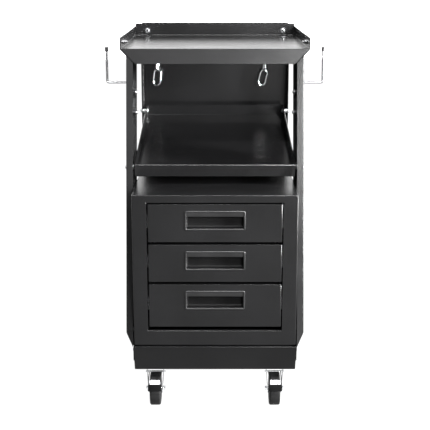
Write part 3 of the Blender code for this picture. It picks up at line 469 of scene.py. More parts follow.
def extruded(outline, shift):
    """A bmesh of a flat outline drawn out along shift."""
    bm = bmesh.new()
    face = bm.faces.new([bm.verts.new(point) for point in outline])
    grown = bmesh.ops.extrude_face_region(bm, geom=[face], use_keep_orig=True)
    moved = [g for g in grown["geom"] if isinstance(g, bmesh.types.BMVert)]
    bmesh.ops.translate(bm, verts=moved, vec=shift)
    bmesh.ops.recalc_face_normals(bm, faces=bm.faces)
    return bm


for number in (1, 2, 3):
    low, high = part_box(f"drawer_{number}_handle")
    front_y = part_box(f"drawer_{number}_front")[0].y
    bead_y = front_y - 0.0003  # the bead lies on the drawer front
    back_y = high.y - CUP_WALL
    wall_in = HANDLE_RIM + SHEET
    profile = []
    for i in range(11):
        turn = math.pi * i / 10
        profile.append((BEAD_WIDTH / 2 * (1 - math.cos(turn)), bead_y - (bead_y - low.y) * math.sin(turn)))
    profile += [(wall_in, front_y + CUP_WALL), (wall_in, back_y - CUP_ROUND)]
    profile += arc((wall_in + CUP_ROUND, back_y - CUP_ROUND), CUP_ROUND, math.pi, -math.pi / 2, 4)[1:]
    rows = []
    for inset, y in profile:
        outline = rounded_rectangle(
            (low.x + inset, low.z + inset), (high.x - inset, high.z - inset), max(0.0045 - inset, 0.0012))
        rows.append([(x, y, z) for x, z in outline])
    cup = folded(
        f"drawer_{number}_handle_cup", [rows[-1]] + skin_between(rows), (0.0, high.y + 1.0, low.z),
        f"drawer_{number}", [f"drawer_{number}_handle"], radius=0.0, wall=CUP_WALL,
        material=moulded_plastic, hem=0.0002)
    # The faces inside the cup take the darker plastic as painted shade for the recess.
    cup.data.materials.append(textured_plastic_and_cup_shade)
    for face in cup.data.polygons:
        if face.center.y > front_y:
            face.material_index = 1

    # The strip's lower edge is a round nose.
    strip_y = front_y - 0.0002
    nose = STRIP_THICKNESS / 2
    strip_z = low.z + wall_in + HANDLE_MOUTH
    top_z = high.z - HANDLE_RIM
    strip_end = wall_in - 0.0004
    section = [(strip_y, top_z)]
    section += [(strip_y + nose - a, strip_z + nose - b) for a, b in arc((0, 0), nose, 0.0, math.pi, 8)]
    section += [(strip_y + STRIP_THICKNESS, top_z)]
    bm = extruded(
        [(low.x + strip_end, y, z) for y, z in section], (high.x - low.x - 2 * strip_end, 0, 0))
    smooth_by_angle(bm, 34.0)
    finish_piece(f"drawer_{number}_handle_strip", bm, moulded_plastic, f"drawer_{number}")


# Ball slides. Each drawer runs on two pairs of zinc-plated steel channels: the outer one is
# fixed to the slide panel and the inner one to the drawer box.
zinc_plate, tree, shader = new_material("zinc_plate")
drawn = (1.0, 0.12, 1.0)  # the grain runs along Y, as the rails were drawn
spread_colour(tree, add_noise(tree, 60.0, 4.0, drawn), (0.50, 0.51, 0.53), (0.66, 0.67, 0.68), shader)
shader.inputs["Metallic"].default_value = 1.0
spread_value(tree, add_noise(tree, 90.0, 4.0, drawn), 0.24, 0.40, shader.inputs["Roughness"])
add_bump(tree, add_noise(tree, 1100.0, 2.0), 0.04, 0.0001, shader)


for number in (1, 2, 3):
    for side, sign in (("left", -1), ("right", 1)):
        for kind, body, towards in (("outer", "chest", -sign), ("inner", f"drawer_{number}", sign)):
            node = f"{kind}_rail_{number}_{side}"
            low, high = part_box(node)
            faces = box_corners(low, high)
            web = faces["right" if towards < 0 else "left"]
            folded(
                f"{node}_formed", [web, faces["top"], faces["bottom"]],
                ((low.x + high.x) / 2, (low.y + high.y) / 2, (low.z + high.z) / 2), body, [node],
                radius=0.0026, material=zinc_plate)


# Slanted shelf. A shallow steel tray between the posts, tilted down to the front, with a rim on
# all four sides. Two bolts hold it to the posts and two to the back panel's flanges.
SHELF_LENGTH = 0.4813
SHELF_RISE = 0.0775
SHELF_WALL = 0.030
SHELF_HEM = 0.0030
shelf_low, shelf_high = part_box("slanted_shelf")
shelf_angle = math.asin(SHELF_RISE / SHELF_LENGTH)
shelf_front_y = shelf_low.y + SHELF_WALL * math.sin(shelf_angle)


def shelf_point(x, along, up):
    """A point of the shelf: along its floor from the front edge, and up square to the floor."""
    y = shelf_front_y + along * math.cos(shelf_angle) - up * math.sin(shelf_angle)
    return (x, y, shelf_low.z + along * math.sin(shelf_angle) + up * math.cos(shelf_angle))


flat = box_corners((shelf_low.x, 0.0, 0.0), (shelf_high.x, SHELF_LENGTH, SHELF_WALL))
flat_hem = box_corners(
    (shelf_low.x + SHELF_HEM, SHELF_HEM, SHELF_WALL),
    (shelf_high.x - SHELF_HEM, SHELF_LENGTH - SHELF_HEM, SHELF_WALL))["top"]
shelf_faces = [flat[side] for side in ("bottom", "front", "rear", "left", "right")]
shelf_faces += frame_around(flat["top"], flat_hem)
# The shelf's coat is the same black powder coat with more shine: painted sheen that brightens the shelf.
folded(
    "slanted_shelf_folded", [[shelf_point(*corner) for corner in face] for face in shelf_faces],
    shelf_point(0.0, SHELF_LENGTH / 2, SHELF_WALL), "chest", ["slanted_shelf"], radius=0.0020,
    material=black_coat("black_powder_coat_with_painted_sheen", 0.44))


def turned(name, axis, centre, profile, sides, material, body, stands_for=(), closed=False):
    """A turned piece: profile points are (distance along the axis, radius) about a centre."""
    bm = bmesh.new()
    spots = []
    for along, radius in profile:
        spot = {"X": (along, radius, 0.0), "Y": (radius, along, 0.0), "Z": (radius, 0.0, along)}[axis]
        spots.append(bm.verts.new(spot))
    edges = [bm.edges.new(pair) for pair in zip(spots, spots[1:])]
    if closed:
        edges.append(bm.edges.new((spots[-1], spots[0])))
    line = {"X": (1, 0, 0), "Y": (0, 1, 0), "Z": (0, 0, 1)}[axis]
    bmesh.ops.spin(
        bm, geom=spots + edges, cent=(0, 0, 0), axis=line, dvec=(0, 0, 0), angle=math.tau,
        space=Matrix.Identity(4), steps=sides, use_merge=True, use_normal_flip=False,
        use_duplicate=False)
    bmesh.ops.remove_doubles(bm, verts=bm.verts, dist=0.000005)
    bmesh.ops.dissolve_degenerate(bm, dist=0.000005, edges=bm.edges)
    bmesh.ops.recalc_face_normals(bm, faces=bm.faces)
    smooth_by_angle(bm, 32.0)
    bmesh.ops.translate(bm, verts=bm.verts, vec=Vector(centre))
    return finish_piece(name, bm, material, body, stands_for)


def dome_profile(radius, height, start, sign, steps=6):
    """A button head: (along, radius) points from its rim at start to its top."""
    points = [(start, radius)]
    for i in range(1, steps):
        turn = math.pi / 2 * i / steps
        points.append((start + sign * height * math.sin(turn), radius * math.cos(turn)))
    return points + [(start + sign * height, 0.0)]


def nut(name, axis, centre, start, sign, radius, height, bore, body, material=None):
    """A hex nut with chamfered corners, from start along the axis."""
    bm = bmesh.new()
    rows = []
    chamfer = 0.10 * radius
    for along, outside, grow in (
        (0.0, True, -chamfer), (chamfer, True, 0.0), (height - chamfer, True, 0.0),
        (height, True, -chamfer), (height, False, 0.0), (0.0, False, 0.0),
    ):
        row = []
        for i in range(24):
            turn = math.tau * i / 24
            off_flat = (turn + math.pi / 6) % (math.pi / 3) - math.pi / 6
            flat_r = radius * math.cos(math.pi / 6) / math.cos(off_flat)
            r = min(flat_r, radius * 0.985 + grow) if outside else bore
            across, up, place = r * math.cos(turn), r * math.sin(turn), start + sign * along
            spot = {"X": (place, across, up), "Y": (across, place, up), "Z": (across, up, place)}[axis]
            row.append(bm.verts.new(Vector(spot) + Vector(centre)))
        rows.append(row)
    for row, following in zip(rows, rows[1:] + rows[:1]):
        for i in range(24):
            j = (i + 1) % 24
            bm.faces.new((row[i], row[j], following[j], following[i]))
    bmesh.ops.recalc_face_normals(bm, faces=bm.faces)
    smooth_by_angle(bm, 25.0)
    finish_piece(name, bm, material or zinc_plate, body)


BOLT_R = 0.0030
SPACER_R = 0.0055
for place in ("front", "rear"):
    for side, sign in (("left", -1), ("right", 1)):
        node = f"shelf_bolt_{place}_{side}"
        low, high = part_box(node)
        centre = (0, (low.y + high.y) / 2, (low.z + high.z) / 2)
        inner_x, outer_x = (low.x, high.x) if sign > 0 else (high.x, low.x)
        head_x = inner_x + sign * 0.0040
        nut_x = outer_x - sign * 0.0046
        spacer_in = sign * (shelf_high.x + 0.0003)
        spacer_out = outer_x - sign * 0.0066
        profile = dome_profile(SPACER_R, 0.0036, head_x, -sign)[::-1]
        profile += [
            (head_x, BOLT_R), (spacer_in, BOLT_R), (spacer_in, SPACER_R), (spacer_out, SPACER_R),
            (spacer_out, BOLT_R), (outer_x, BOLT_R), (outer_x, 0.0),
        ]
        turned(f"{node}_shank", "X", centre, profile, 20, zinc_plate, "chest", stands_for=[node])
        nut(f"{node}_nut", "X", centre, nut_x, sign, 0.0057, 0.0040, 0.0032, "chest")


# Posts. Two leaning channels of folded steel, open towards the middle. Each is bolted flat to
# the base pan's side, spreads out above it, and ends in an ear that holds the tray's side.
POST_DEPTH = 0.110
POST_FLANGE = 0.0158
POST_REAR_FLANGE = 0.0171
POST_BEYOND_PAN = 0.0163  # how far the channel stands out past the pan's side
POST_SPREAD = 0.032  # height in which it gets there
EAR_HEIGHT = 0.0265
SHEET_GAP = 0.0003  # between two sheets that touch
TRAY_ABOVE_CABINET = 0.315
TRAY_SETBACK = 0.158  # the tray's front edge behind the cabinet's face
tray_floor_z = shell_high.z + TRAY_ABOVE_CABINET
tray_front_y = shell_low.y + TRAY_SETBACK
lean = TRAY_SETBACK / (tray_floor_z - pan_high.z)
rake = KICK_RAKE / (pan_high.z - pan_low.z)


def post_front_y(z):
    """The front line of the posts, leaning back above the pan and following the kick panel below."""
    above = z - pan_high.z
    return shell_low.y + (above * lean if above > 0 else -above * rake)


post_foot_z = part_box("right_post")[0].z
ear_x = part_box("right_post")[1].x
ear_top_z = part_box("right_post")[1].z
ear_foot_z = ear_top_z - EAR_HEIGHT
tab_x = pan_high.x + SHEET_GAP + SHEET
post_x = pan_high.x + POST_BEYOND_PAN
flare_z = ear_foot_z - (ear_x - post_x)
# Each station is a height, the outer x there and whether the flanges have opened.
stations = [
    (post_foot_z, tab_x, False), (pan_high.z, tab_x, False), (pan_high.z + POST_SPREAD, post_x, True),
    (flare_z - POST_FLANGE, post_x, True), (flare_z, post_x, False), (ear_foot_z, ear_x, False),
    (ear_top_z, ear_x, False),
]
for side, sign in (("left", -1), ("right", 1)):
    faces = []
    for (z0, x0, open0), (z1, x1, open1) in zip(stations, stations[1:]):
        y0, y1 = post_front_y(z0), post_front_y(z1)
        faces.append([
            (sign * x0, y0, z0), (sign * x0, y0 + POST_DEPTH, z0),
            (sign * x1, y1 + POST_DEPTH, z1), (sign * x1, y1, z1)])
        for back, flange in ((0.0, POST_FLANGE), (POST_DEPTH, POST_REAR_FLANGE)):
            corners = [(sign * x0, y0 + back, z0), (sign * x1, y1 + back, z1)]
            if open1:
                corners.append((sign * (x1 - flange), y1 + back, z1))
            if open0:
                corners.append((sign * (x0 - flange), y0 + back, z0))
            if len(corners) > 2:
                faces.append(corners)
    inside = (0.0, post_front_y(post_foot_z), post_foot_z)
    folded(f"{side}_post_folded", faces, inside, "chest", [f"{side}_post"])


# Back panel. One sheet behind the whole chest, with a flange folded forwards along each side
# and its two top corners cut off.
PANEL_CORNER = 0.0020
panel_low, panel_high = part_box("back_panel")
flange_top_z = tray_floor_z - SHEET - 2 * SHEET_GAP
side_line = [(panel_low.z, 0.0), (flange_top_z, 0.0)]
side_line += [(panel_high.z - PANEL_CORNER, 0.0), (panel_high.z, PANEL_CORNER)]
sheet = [(panel_low.x + inset, panel_high.y, z) for z, inset in side_line]
sheet += [(panel_high.x - inset, panel_high.y, z) for z, inset in reversed(side_line)]
panel_faces = [sheet] + [
    [(x, panel_high.y, panel_low.z), (x, panel_low.y, panel_low.z),
     (x, panel_low.y, flange_top_z), (x, panel_high.y, flange_top_z)]
    for x in (panel_low.x, panel_high.x)
]
folded("back_panel_folded", panel_faces, (0.0, panel_low.y, 0.5), "chest", ["back_panel"])


# Top tray. A folded steel tray on the posts' ears: a low wall on each side, a higher one at the
# rear, and at the front an apron turned down between the posts with mitred ends.
tray_low, tray_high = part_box("top_tray")
inner_x = tray_high.x - SHEET
inner_y = tray_high.y - SHEET
mitre_x = inner_x - 0.0002  # the mitre starts just inside the ear
apron_foot_x = mitre_x - (ear_foot_z - tray_low.z)
apron_line = [(inner_x, tray_floor_z), (mitre_x, ear_foot_z), (apron_foot_x, tray_low.z)]
apron = [(x, post_front_y(z), z) for x, z in apron_line]
apron += [(-x, post_front_y(z), z) for x, z in reversed(apron_line)]
tray_faces = [
    [(-inner_x, tray_front_y, tray_floor_z), (inner_x, tray_front_y, tray_floor_z),
     (inner_x, inner_y, tray_floor_z), (-inner_x, inner_y, tray_floor_z)],
    apron,
    [(-inner_x, inner_y, tray_floor_z), (inner_x, inner_y, tray_floor_z),
     (inner_x, inner_y, tray_high.z), (-inner_x, inner_y, tray_high.z)],
]
for x in (-inner_x, inner_x):
    tray_faces.append([
        (x, tray_front_y, tray_floor_z), (x, inner_y, tray_floor_z),
        (x, inner_y, ear_top_z), (x, tray_front_y, ear_top_z)])
folded("top_tray_folded", tray_faces, (0.0, 0.1, 0.0), "chest", ["top_tray"])


# Side hooks. A dull-plated rod bent up to a hook on the outside of each post, welded to a plate
# inside the post that two dome nuts hold. A black plastic cap covers the rod's end.
HOOK_ROD_R = 0.00275
HOOK_BEND = 0.0050
PLATE_THICKNESS, PLATE_WIDTH = 0.0018, 0.024
PLATE_HEIGHT = 0.092
HOOK_NUTS = (("upper", 0.023), ("lower", 0.072))  # distance below the rod

dull_steel, tree, shader = new_material("dull_plated_steel")
spread_colour(tree, add_noise(tree, 60.0, 3.0), (0.15, 0.15, 0.155), (0.21, 0.21, 0.215), shader)
shader.inputs["Metallic"].default_value = 1.0
spread_value(tree, add_noise(tree, 90.0, 3.0), 0.28, 0.38, shader.inputs["Roughness"])

oiled_steel, tree, shader = new_material("oiled_steel")
spread_colour(tree, add_noise(tree, 80.0, 3.0), (0.025, 0.025, 0.027), (0.045, 0.045, 0.047), shader)
shader.inputs["Metallic"].default_value = 0.8
spread_value(tree, add_noise(tree, 90.0, 3.0), 0.3, 0.45, shader.inputs["Roughness"])


def wire(bm, path, normal, radius, closed, sides=16):
    """A round wire along a flat path. normal is square to the path's plane."""
    normal = Vector(normal).normalized()
    path = [Vector(point) for point in path]
    rings = []
    for i, point in enumerate(path):
        before = path[i - 1] if closed or i else point
        after = path[(i + 1) % len(path)] if closed or i + 1 < len(path) else point
        across = normal.cross((after - before).normalized())
        ring = []
        for k in range(sides):
            turn = math.tau * k / sides
            ring.append(bm.verts.new(point + (across * math.cos(turn) + normal * math.sin(turn)) * radius))
        rings.append(ring)
    for ring, following in zip(rings, rings[1:] + (rings[:1] if closed else [])):
        for k in range(sides):
            j = (k + 1) % sides
            bm.faces.new((ring[k], ring[j], following[j], following[k]))
    if not closed:
        bm.faces.new(rings[0])
        bm.faces.new(rings[-1])
    bmesh.ops.recalc_face_normals(bm, faces=bm.faces)
    smooth_by_angle(bm, 40.0)


def button_screw(name, place, sign, radius, height, material):
    """A button-head screw whose head stands out from place along X, with a hollow drive."""
    socket = 0.42 * radius
    profile = [(0.0, 0.0), (0.0, radius)]
    profile += [p for p in dome_profile(radius, height, 0.0, sign)[1:] if p[1] > socket]
    rim = profile[-1][0]
    profile += [(rim, socket), (0.35 * height * sign, socket), (0.30 * height * sign, 0.0)]
    turned(name, "X", place, profile, 20, material, "chest")


for side, sign in (("left", -1), ("right", 1)):
    plate_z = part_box(f"{side}_hook")[0].z
    cap_low, cap_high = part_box(f"{side}_hook_cap")
    upright_x = (cap_low.x + cap_high.x) / 2 * sign
    hook_y = (cap_low.y + cap_high.y) / 2
    rod_z = plate_z + PLATE_HEIGHT - PLATE_WIDTH / 2
    rod_end = cap_high.z - 0.0013
    plate_x = post_x - SHEET - SHEET_GAP
    route = [(plate_x - PLATE_THICKNESS / 2, rod_z)]
    route += arc((upright_x - HOOK_BEND, rod_z + HOOK_BEND), HOOK_BEND, -math.pi / 2, math.pi / 2, 10)
    route += [(upright_x, rod_end)]
    bm = bmesh.new()
    wire(bm, [(sign * x, hook_y, z) for x, z in route], (0, 1, 0), HOOK_ROD_R, closed=False)
    finish_piece(f"{side}_hook_rod", bm, dull_steel, "chest", [f"{side}_hook"])

    outline = rounded_rectangle(
        (hook_y - PLATE_WIDTH / 2, plate_z), (hook_y + PLATE_WIDTH / 2, plate_z + PLATE_HEIGHT), 0.004, 5)
    bm = extruded([(sign * plate_x, y, z) for y, z in outline], (-sign * PLATE_THICKNESS, 0, 0))
    smooth_by_angle(bm, 30.0)
    finish_piece(f"{side}_hook_plate", bm, zinc_plate, "chest")
    for row, drop in HOOK_NUTS:
        place = (sign * (plate_x - PLATE_THICKNESS), hook_y, rod_z - drop)
        sleeve = [
            (0.0, 0.0), (0.0, 0.0068), (0.0012, 0.0068), (0.0014, 0.0050), (0.0125, 0.0050),
            (0.0125, 0.0070), (0.0138, 0.0070), (0.0138, 0.0),
        ]
        sleeve = [(-sign * along, r) for along, r in sleeve]
        turned(f"{side}_hook_{row}_sleeve", "X", place, sleeve, 24, oiled_steel, "chest")
        dome = [(-sign * 0.0140, 0.0), (-sign * 0.0140, 0.0050)]
        dome += dome_profile(0.0050, 0.0038, -sign * 0.0150, -sign)
        turned(f"{side}_hook_{row}_dome_nut", "X", place, dome, 24, dull_steel, "chest")
        place = (sign * post_x, hook_y, rod_z - drop)
        button_screw(f"{side}_hook_{row}_screw", place, sign, 0.0052, 0.0026, zinc_plate)
    cap_r = (cap_high.x - cap_low.x) / 2
    bore = HOOK_ROD_R + 0.0002
    nose = 0.0022
    cap = [(cap_low.z, bore), (cap_low.z, cap_r - 0.0003), (cap_low.z + 0.0003, cap_r)]
    cap += arc((cap_high.z - nose, cap_r - nose), nose, math.pi / 2, -math.pi / 2, 6)
    cap += [(cap_high.z, 0.0), (rod_end + 0.0003, 0.0), (rod_end + 0.0003, bore)]
    turned(
        f"{side}_hook_cap_moulded", "Z", (sign * upright_x, hook_y, 0), cap, 28, moulded_plastic, "chest",
        [f"{side}_hook_cap"])


# Hanging rings. A chromed oval link hangs from a smaller link, which a stem and a small plate
# hold to the back panel.
RING_LEANS = (("left", 0.08), ("right", 0.24))
RING_LENGTH, RING_WIDTH, RING_WIRE_R = 0.047, 0.023, 0.0020
EYE_LENGTH, EYE_WIDTH, EYE_WIRE_R = 0.036, 0.015, 0.0017
EYE_TURN = 0.45
RING_FIT = 0.0010
STEM_R = 0.0020

chrome, tree, shader = new_material("chrome_plate")
spread_colour(tree, add_noise(tree, 30.0, 3.0), (0.70, 0.71, 0.72), (0.80, 0.81, 0.82), shader)
shader.inputs["Metallic"].default_value = 1.0
spread_value(tree, add_noise(tree, 120.0, 3.0), 0.08, 0.17, shader.inputs["Roughness"])


def link_line(length, width, wire_r):
    """The middle line of an oval link that stands on (0, 0), as (across, up) points."""
    r = width / 2 - wire_r
    top = length - 2 * wire_r - r
    return arc((0, r), r, math.pi, math.pi, 14) + arc((0, top), r, 0.0, math.pi, 14)


panel_front_y = panel_high.y - SHEET
ring_y = panel_front_y - 0.025
for side, tilt in RING_LEANS:
    eye_low, eye_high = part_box(f"{side}_ring_eye")
    x = (eye_low.x + eye_high.x) / 2
    foot_z = eye_low.z + EYE_WIRE_R
    turn = Matrix.Rotation(EYE_TURN, 3, "Z")
    place = Vector((x, ring_y, foot_z))
    bm = bmesh.new()
    line = [place + turn @ Vector((0, a, up)) for a, up in link_line(EYE_LENGTH, EYE_WIDTH, EYE_WIRE_R)]
    wire(bm, line, turn @ Vector((1, 0, 0)), EYE_WIRE_R, closed=True)
    finish_piece(f"{side}_ring_link", bm, chrome, "chest", [f"{side}_ring_eye"])

    stem_z = foot_z + EYE_LENGTH - 2 * EYE_WIRE_R
    foot = [(0.0040, STEM_R), (0.0030, 0.0045), (0.0016, 0.0078), (SHEET_GAP, 0.0080), (SHEET_GAP, 0.0)]
    stem = [(ring_y, 0.0), (ring_y, STEM_R)] + [(panel_front_y - ahead, r) for ahead, r in foot]
    turned(f"{side}_ring_stem", "Y", (x, 0, stem_z), stem, 24, chrome, "chest")

    hang = EYE_WIRE_R + RING_FIT + RING_WIRE_R - (RING_LENGTH - 2 * RING_WIRE_R)
    swing = Matrix.Rotation(tilt, 3, "Y")
    line = [
        place + swing @ Vector((a, 0, hang + up))
        for a, up in link_line(RING_LENGTH, RING_WIDTH, RING_WIRE_R)
    ]
    bm = bmesh.new()
    wire(bm, line, (0, 1, 0), RING_WIRE_R, closed=True)
    finish_piece(f"{side}_ring_bent", bm, chrome, f"{side}_ring", [f"{side}_ring"])


# Tray and frame fasteners. Plated bolts hold the tray's rear wall to the back panel and its side
# walls to the ears, and darker screws hold the posts' feet to the pan.
TRAY_BOLT_X = 0.188
TRAY_BOLT_UP = 0.013  # above the tray's floor
EAR_BOLT_BACK = 0.062  # behind the tray's front edge
EAR_BOLT_UP = 0.012
FOOT_SCREW_Z = 0.150
for side, sign in (("left", -1), ("right", 1)):
    place = (sign * TRAY_BOLT_X, inner_y, tray_floor_z + TRAY_BOLT_UP)
    washer = [(0.0, 0.0042), (0.0, 0.0086), (-0.0009, 0.0086), (-0.0012, 0.0042)]
    turned(f"{side}_tray_rear_washer", "Y", place, washer, 28, oiled_steel, "chest", closed=True)
    head = [(-0.0012, 0.0034), (-0.0012, 0.0062), (-0.0030, 0.0060), (-0.0042, 0.0050), (-0.0044, 0.0034)]
    turned(f"{side}_tray_rear_head", "Y", place, head, 28, zinc_plate, "chest", closed=True)
    socket = [(-0.0012, 0.0), (-0.0012, 0.0032), (-0.0024, 0.0032), (-0.0024, 0.0)]
    turned(f"{side}_tray_rear_socket", "Y", place, socket, 20, oiled_steel, "chest")

    ear_y, ear_z = tray_front_y + EAR_BOLT_BACK, tray_floor_z + EAR_BOLT_UP
    flanged = [
        (0.0, 0.0), (0.0, 0.0062), (0.0014, 0.0062), (0.0016, 0.0048), (0.0060, 0.0048),
        (0.0062, 0.0026), (0.0110, 0.0026), (0.0114, 0.0),
    ]
    flanged = [(-sign * along, r) for along, r in flanged]
    turned(f"{side}_tray_front_nut", "X", (sign * inner_x, ear_y, ear_z), flanged, 20, dull_steel, "chest")
    button_screw(f"{side}_ear_front_screw", (sign * ear_x, ear_y, ear_z), sign, 0.0055, 0.0026, oiled_steel)
    for row, along in (("front", 0.030), ("rear", 0.080)):
        place = (sign * tab_x, post_front_y(FOOT_SCREW_Z) + along, FOOT_SCREW_Z)
        button_screw(f"{side}_post_foot_{row}_screw", place, sign, 0.0060, 0.0030, oiled_steel)


# Castors. Each has a zinc-plated top plate with four bolts, a ball race, a pressed fork, an axle
# bolt and a grey rubber tyre on a plastic wheel. The front pair carries a brake pedal.
PLATE = (0.066, 0.080, 0.0025)
PLATE_BOLTS = (0.0245, 0.0315)  # half the spacing across and along
RACE_R, RACE_DEPTH, RACE_ROUND = 0.0225, 0.0063, 0.0020
CROWN = 0.003
FORK_SHEET = 0.002
FORK_FOOT, FORK_TOP = 0.0175, 0.0215  # half widths over the legs
WHEEL_R, WHEEL_HALF_WIDTH = 0.040, 0.013
TREAD_ROUND = 0.0042
TRAIL = 0.028
PEDAL_PIN = (TRAIL + 0.001, 2 * WHEEL_R + 0.0045)  # out from the swivel, and height
PEDAL_KNEE = (TRAIL + 0.020, PEDAL_PIN[1] - 0.00375)
PEDAL_TOE = (TRAIL + WHEEL_R + 0.011, PEDAL_PIN[1] - 0.0155)
PEDAL_HALF_WIDTH, TOE_CAP_HALF_WIDTH = 0.0122, 0.0160
PEDAL_ARM = (0.0139, 0.0016, 0.0024)  # inner face from the middle, thickness, half height

tyre_rubber, tree, shader = new_material("grey_tyre_rubber")
spread_colour(tree, add_noise(tree, 25.0, 4.0), (0.0035, 0.0035, 0.0036), (0.0060, 0.0060, 0.0062), shader)
spread_value(tree, add_noise(tree, 60.0, 3.0), 0.5, 0.7, shader.inputs["Roughness"])
shader.inputs["Specular IOR Level"].default_value = 0.10
add_bump(tree, add_noise(tree, 500.0, 3.0), 0.15, 0.0003, shader)

wheel_plastic, tree, shader = new_material("wheel_plastic")
spread_colour(tree, add_noise(tree, 25.0, 3.0), (0.012, 0.012, 0.0125), (0.018, 0.018, 0.019), shader)
spread_value(tree, add_noise(tree, 50.0, 3.0), 0.35, 0.5, shader.inputs["Roughness"])
shader.inputs["Specular IOR Level"].default_value = 0.25


def mirrored(x, half):
    """A turned profile about a middle x, from the points of its right half."""
    return [(x + a, r) for a, r in half] + [(x - a, r) for a, r in reversed(half)]


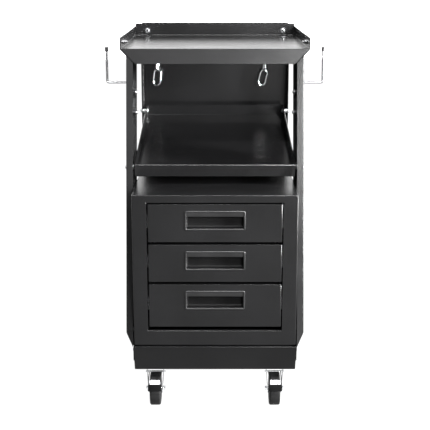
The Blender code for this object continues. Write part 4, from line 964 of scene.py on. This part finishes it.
for ahead, outwards in (("front", -1), ("rear", 1)):
    for side in ("left", "right"):
        name = f"{ahead}_{side}_castor"
        wheel_body, pedal_body = f"{name}_wheel", f"{name}_brake"
        plate_low, plate_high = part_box(f"{name}_plate")
        wheel_low, wheel_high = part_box(f"{name}_wheel")
        crown_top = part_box(f"{name}_fork")[1].z
        x = (plate_low.x + plate_high.x) / 2
        axle_y, axle_z = (wheel_low.y + wheel_high.y) / 2, WHEEL_R
        swivel_y = axle_y - outwards * TRAIL
        race_top = plate_high.z - PLATE[2]

        half_x, half_y = PLATE[0] / 2, PLATE[1] / 2
        outline = rounded_rectangle(
            (x - half_x, swivel_y - half_y), (x + half_x, swivel_y + half_y), 0.006, 5)
        bm = extruded([(a, b, race_top) for a, b in outline], (0, 0, PLATE[2]))
        rims = [e for e in bm.edges if e.calc_face_angle(0.0) > math.radians(60.0)]
        bmesh.ops.bevel(
            bm, geom=rims, offset=0.0004, offset_type="OFFSET", affect="EDGES", segments=2, profile=0.5,
            clamp_overlap=True, material=-1)
        smooth_by_angle(bm, 40.0)
        finish_piece(f"{name}_top_plate", bm, zinc_plate, "chest", [f"{name}_plate"])
        race_foot, neck_foot = race_top - RACE_DEPTH, crown_top - CROWN - 0.0003
        race = [(race_top, 0.0), (race_top, RACE_R)]
        race += arc((race_foot + RACE_ROUND, RACE_R - RACE_ROUND), RACE_ROUND, math.pi / 2, math.pi / 2, 6)
        race += [(race_foot, 0.006), (neck_foot, 0.006), (neck_foot, 0.010)]
        race += [(plate_low.z + 0.0006, 0.0092), (plate_low.z, 0.0070), (plate_low.z, 0.0)]
        turned(f"{name}_ball_race", "Z", (x, swivel_y, 0), race, 32, zinc_plate, "chest")
        for letter_x, column in (("l", -1), ("r", 1)):
            for letter_y, row in (("f", -1), ("b", 1)):
                label = f"{name}_plate_nut_{letter_x}{letter_y}"
                place = (x + column * PLATE_BOLTS[0], swivel_y + row * PLATE_BOLTS[1], 0)
                nut(label, "Z", place, race_top, -1, 0.0058, 0.0040, 0.0028, "chest")

        # The fork is one pressed sheet: a crown above, and two legs that close in to the axle.
        leg_front = TRAIL + 0.0065
        leg = [(-0.0225, crown_top), (-0.0225, crown_top - CROWN - 0.004)]
        leg += arc((TRAIL, axle_z), 0.011, math.pi, math.pi, 12)
        leg += [(leg_front, 2 * WHEEL_R - 0.0045), (leg_front, crown_top)]
        spread = (FORK_TOP - FORK_FOOT) / (crown_top - axle_z)
        fork_faces = [box_corners(
            (x - FORK_TOP, swivel_y + outwards * leg[0][0], crown_top),
            (x + FORK_TOP, swivel_y + outwards * leg[-1][0], crown_top))["top"]]
        for sign in (-1, 1):
            fork_faces.append([
                (x + sign * (FORK_FOOT + spread * (z - axle_z)), swivel_y + outwards * y, z) for y, z in leg])
        folded(
            f"{name}_fork_pressed", fork_faces, (x, swivel_y, 0.0), name, [f"{name}_fork"], radius=0.0028,
            wall=FORK_SHEET, material=chrome, hem=0.0004)

        axle = (0, axle_y, axle_z)
        nut_in, bolt_end = FORK_FOOT + 0.0008, FORK_FOOT + 0.0054
        shank = mirrored(x, [(bolt_end, 0.0), (bolt_end, 0.0030), (nut_in, 0.0040)])
        turned(f"{name}_axle_bolt", "X", axle, shank, 20, chrome, name, [f"{name}_axle"])
        for letter, sign in (("l", -1), ("r", 1)):
            nut(f"{name}_axle_nut_{letter}", "X", axle, x + sign * nut_in, sign, 0.0064, 0.0046, 0.0041, name,
                chrome)

        shoulder = (WHEEL_HALF_WIDTH - TREAD_ROUND, WHEEL_R - TREAD_ROUND)
        tyre = [(WHEEL_HALF_WIDTH, WHEEL_R - 0.0128)] + arc(shoulder, TREAD_ROUND, 0.0, math.pi / 2, 8)
        turned(
            f"{name}_tyre", "X", axle, mirrored(x, tyre), 64, tyre_rubber, wheel_body,
            [f"{name}_wheel"], closed=True)
        hub = [
            (0.0144, 0.0043), (0.0144, 0.0098), (0.0136, 0.0108), (0.0084, 0.0125), (0.0076, 0.0140),
            (0.0076, 0.0245), (0.0084, 0.0262), (0.0122, 0.0268), (0.0122, 0.0271),
        ]
        turned(
            f"{name}_hub", "X", axle, mirrored(x, hub), 48, wheel_plastic, wheel_body,
            closed=True)
        if ahead == "rear":
            continue

        # The pedal is a dull-plated plate on two arms from a pin across the fork. A black plastic
        # cap covers its toe.
        pedal_foot_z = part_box(f"{name}_brake_pedal")[0].z
        toe_y, toe_z = PEDAL_TOE
        line = [
            (toe_y - 0.0125, toe_z + 0.0088), (toe_y - 0.0022, toe_z - 0.0015),
            (toe_y - 0.0022, pedal_foot_z + 0.002),
        ]
        pedal_faces = []
        for (y0, z0), (y1, z1) in zip(line, line[1:]):
            upper = [(x + sign * PEDAL_HALF_WIDTH, swivel_y + outwards * y0, z0) for sign in (-1, 1)]
            lower = [(x + sign * PEDAL_HALF_WIDTH, swivel_y + outwards * y1, z1) for sign in (1, -1)]
            pedal_faces.append(upper + lower)
        folded(
            f"{name}_pedal_plate", pedal_faces, (x, swivel_y, 0.0), pedal_body, [f"{name}_brake_pedal"],
            radius=0.0016, wall=0.0018, material=dull_steel, hem=0.0003)
        arm_in, arm_thickness, arm_half = PEDAL_ARM
        spine = [PEDAL_PIN, PEDAL_KNEE, (toe_y - 0.004, toe_z - 0.002)]
        outline = [(y, z + arm_half) for y, z in spine] + [(y, z - arm_half) for y, z in reversed(spine)]
        for letter, sign in (("l", -1), ("r", 1)):
            bm = extruded(
                [(x + sign * arm_in, swivel_y + outwards * y, z) for y, z in outline],
                (sign * arm_thickness, 0, 0))
            finish_piece(f"{name}_pedal_arm_{letter}", bm, dull_steel, pedal_body)
        rows = []
        for back, inset in ((0.0055, 0.0), (0.0012, 0.0), (0.0003, 0.0004), (0.0, 0.0012)):
            half = TOE_CAP_HALF_WIDTH - inset
            outline = rounded_rectangle(
                (x - half, pedal_foot_z + inset), (x + half, toe_z + 0.0004 - inset), 0.0022)
            rows.append([(a, swivel_y + outwards * (toe_y - back), z) for a, z in outline])
        bm = bmesh.new()
        for face in skin_between(rows) + [rows[0], rows[-1]]:
            bm.faces.new([bm.verts.new(corner) for corner in face])
        bmesh.ops.remove_doubles(bm, verts=bm.verts, dist=0.00001)
        bmesh.ops.recalc_face_normals(bm, faces=bm.faces)
        smooth_by_angle(bm, 40.0)
        finish_piece(f"{name}_pedal_toe_cap", bm, textured_plastic_and_cup_shade, pedal_body)
        pin = mirrored(x, [(0.0240, 0.0), (0.0240, 0.0021), (0.0236, 0.0025)])
        place = (0, swivel_y + outwards * PEDAL_PIN[0], PEDAL_PIN[1])
        turned(f"{name}_pedal_pin", "X", place, pin, 18, chrome, pedal_body)
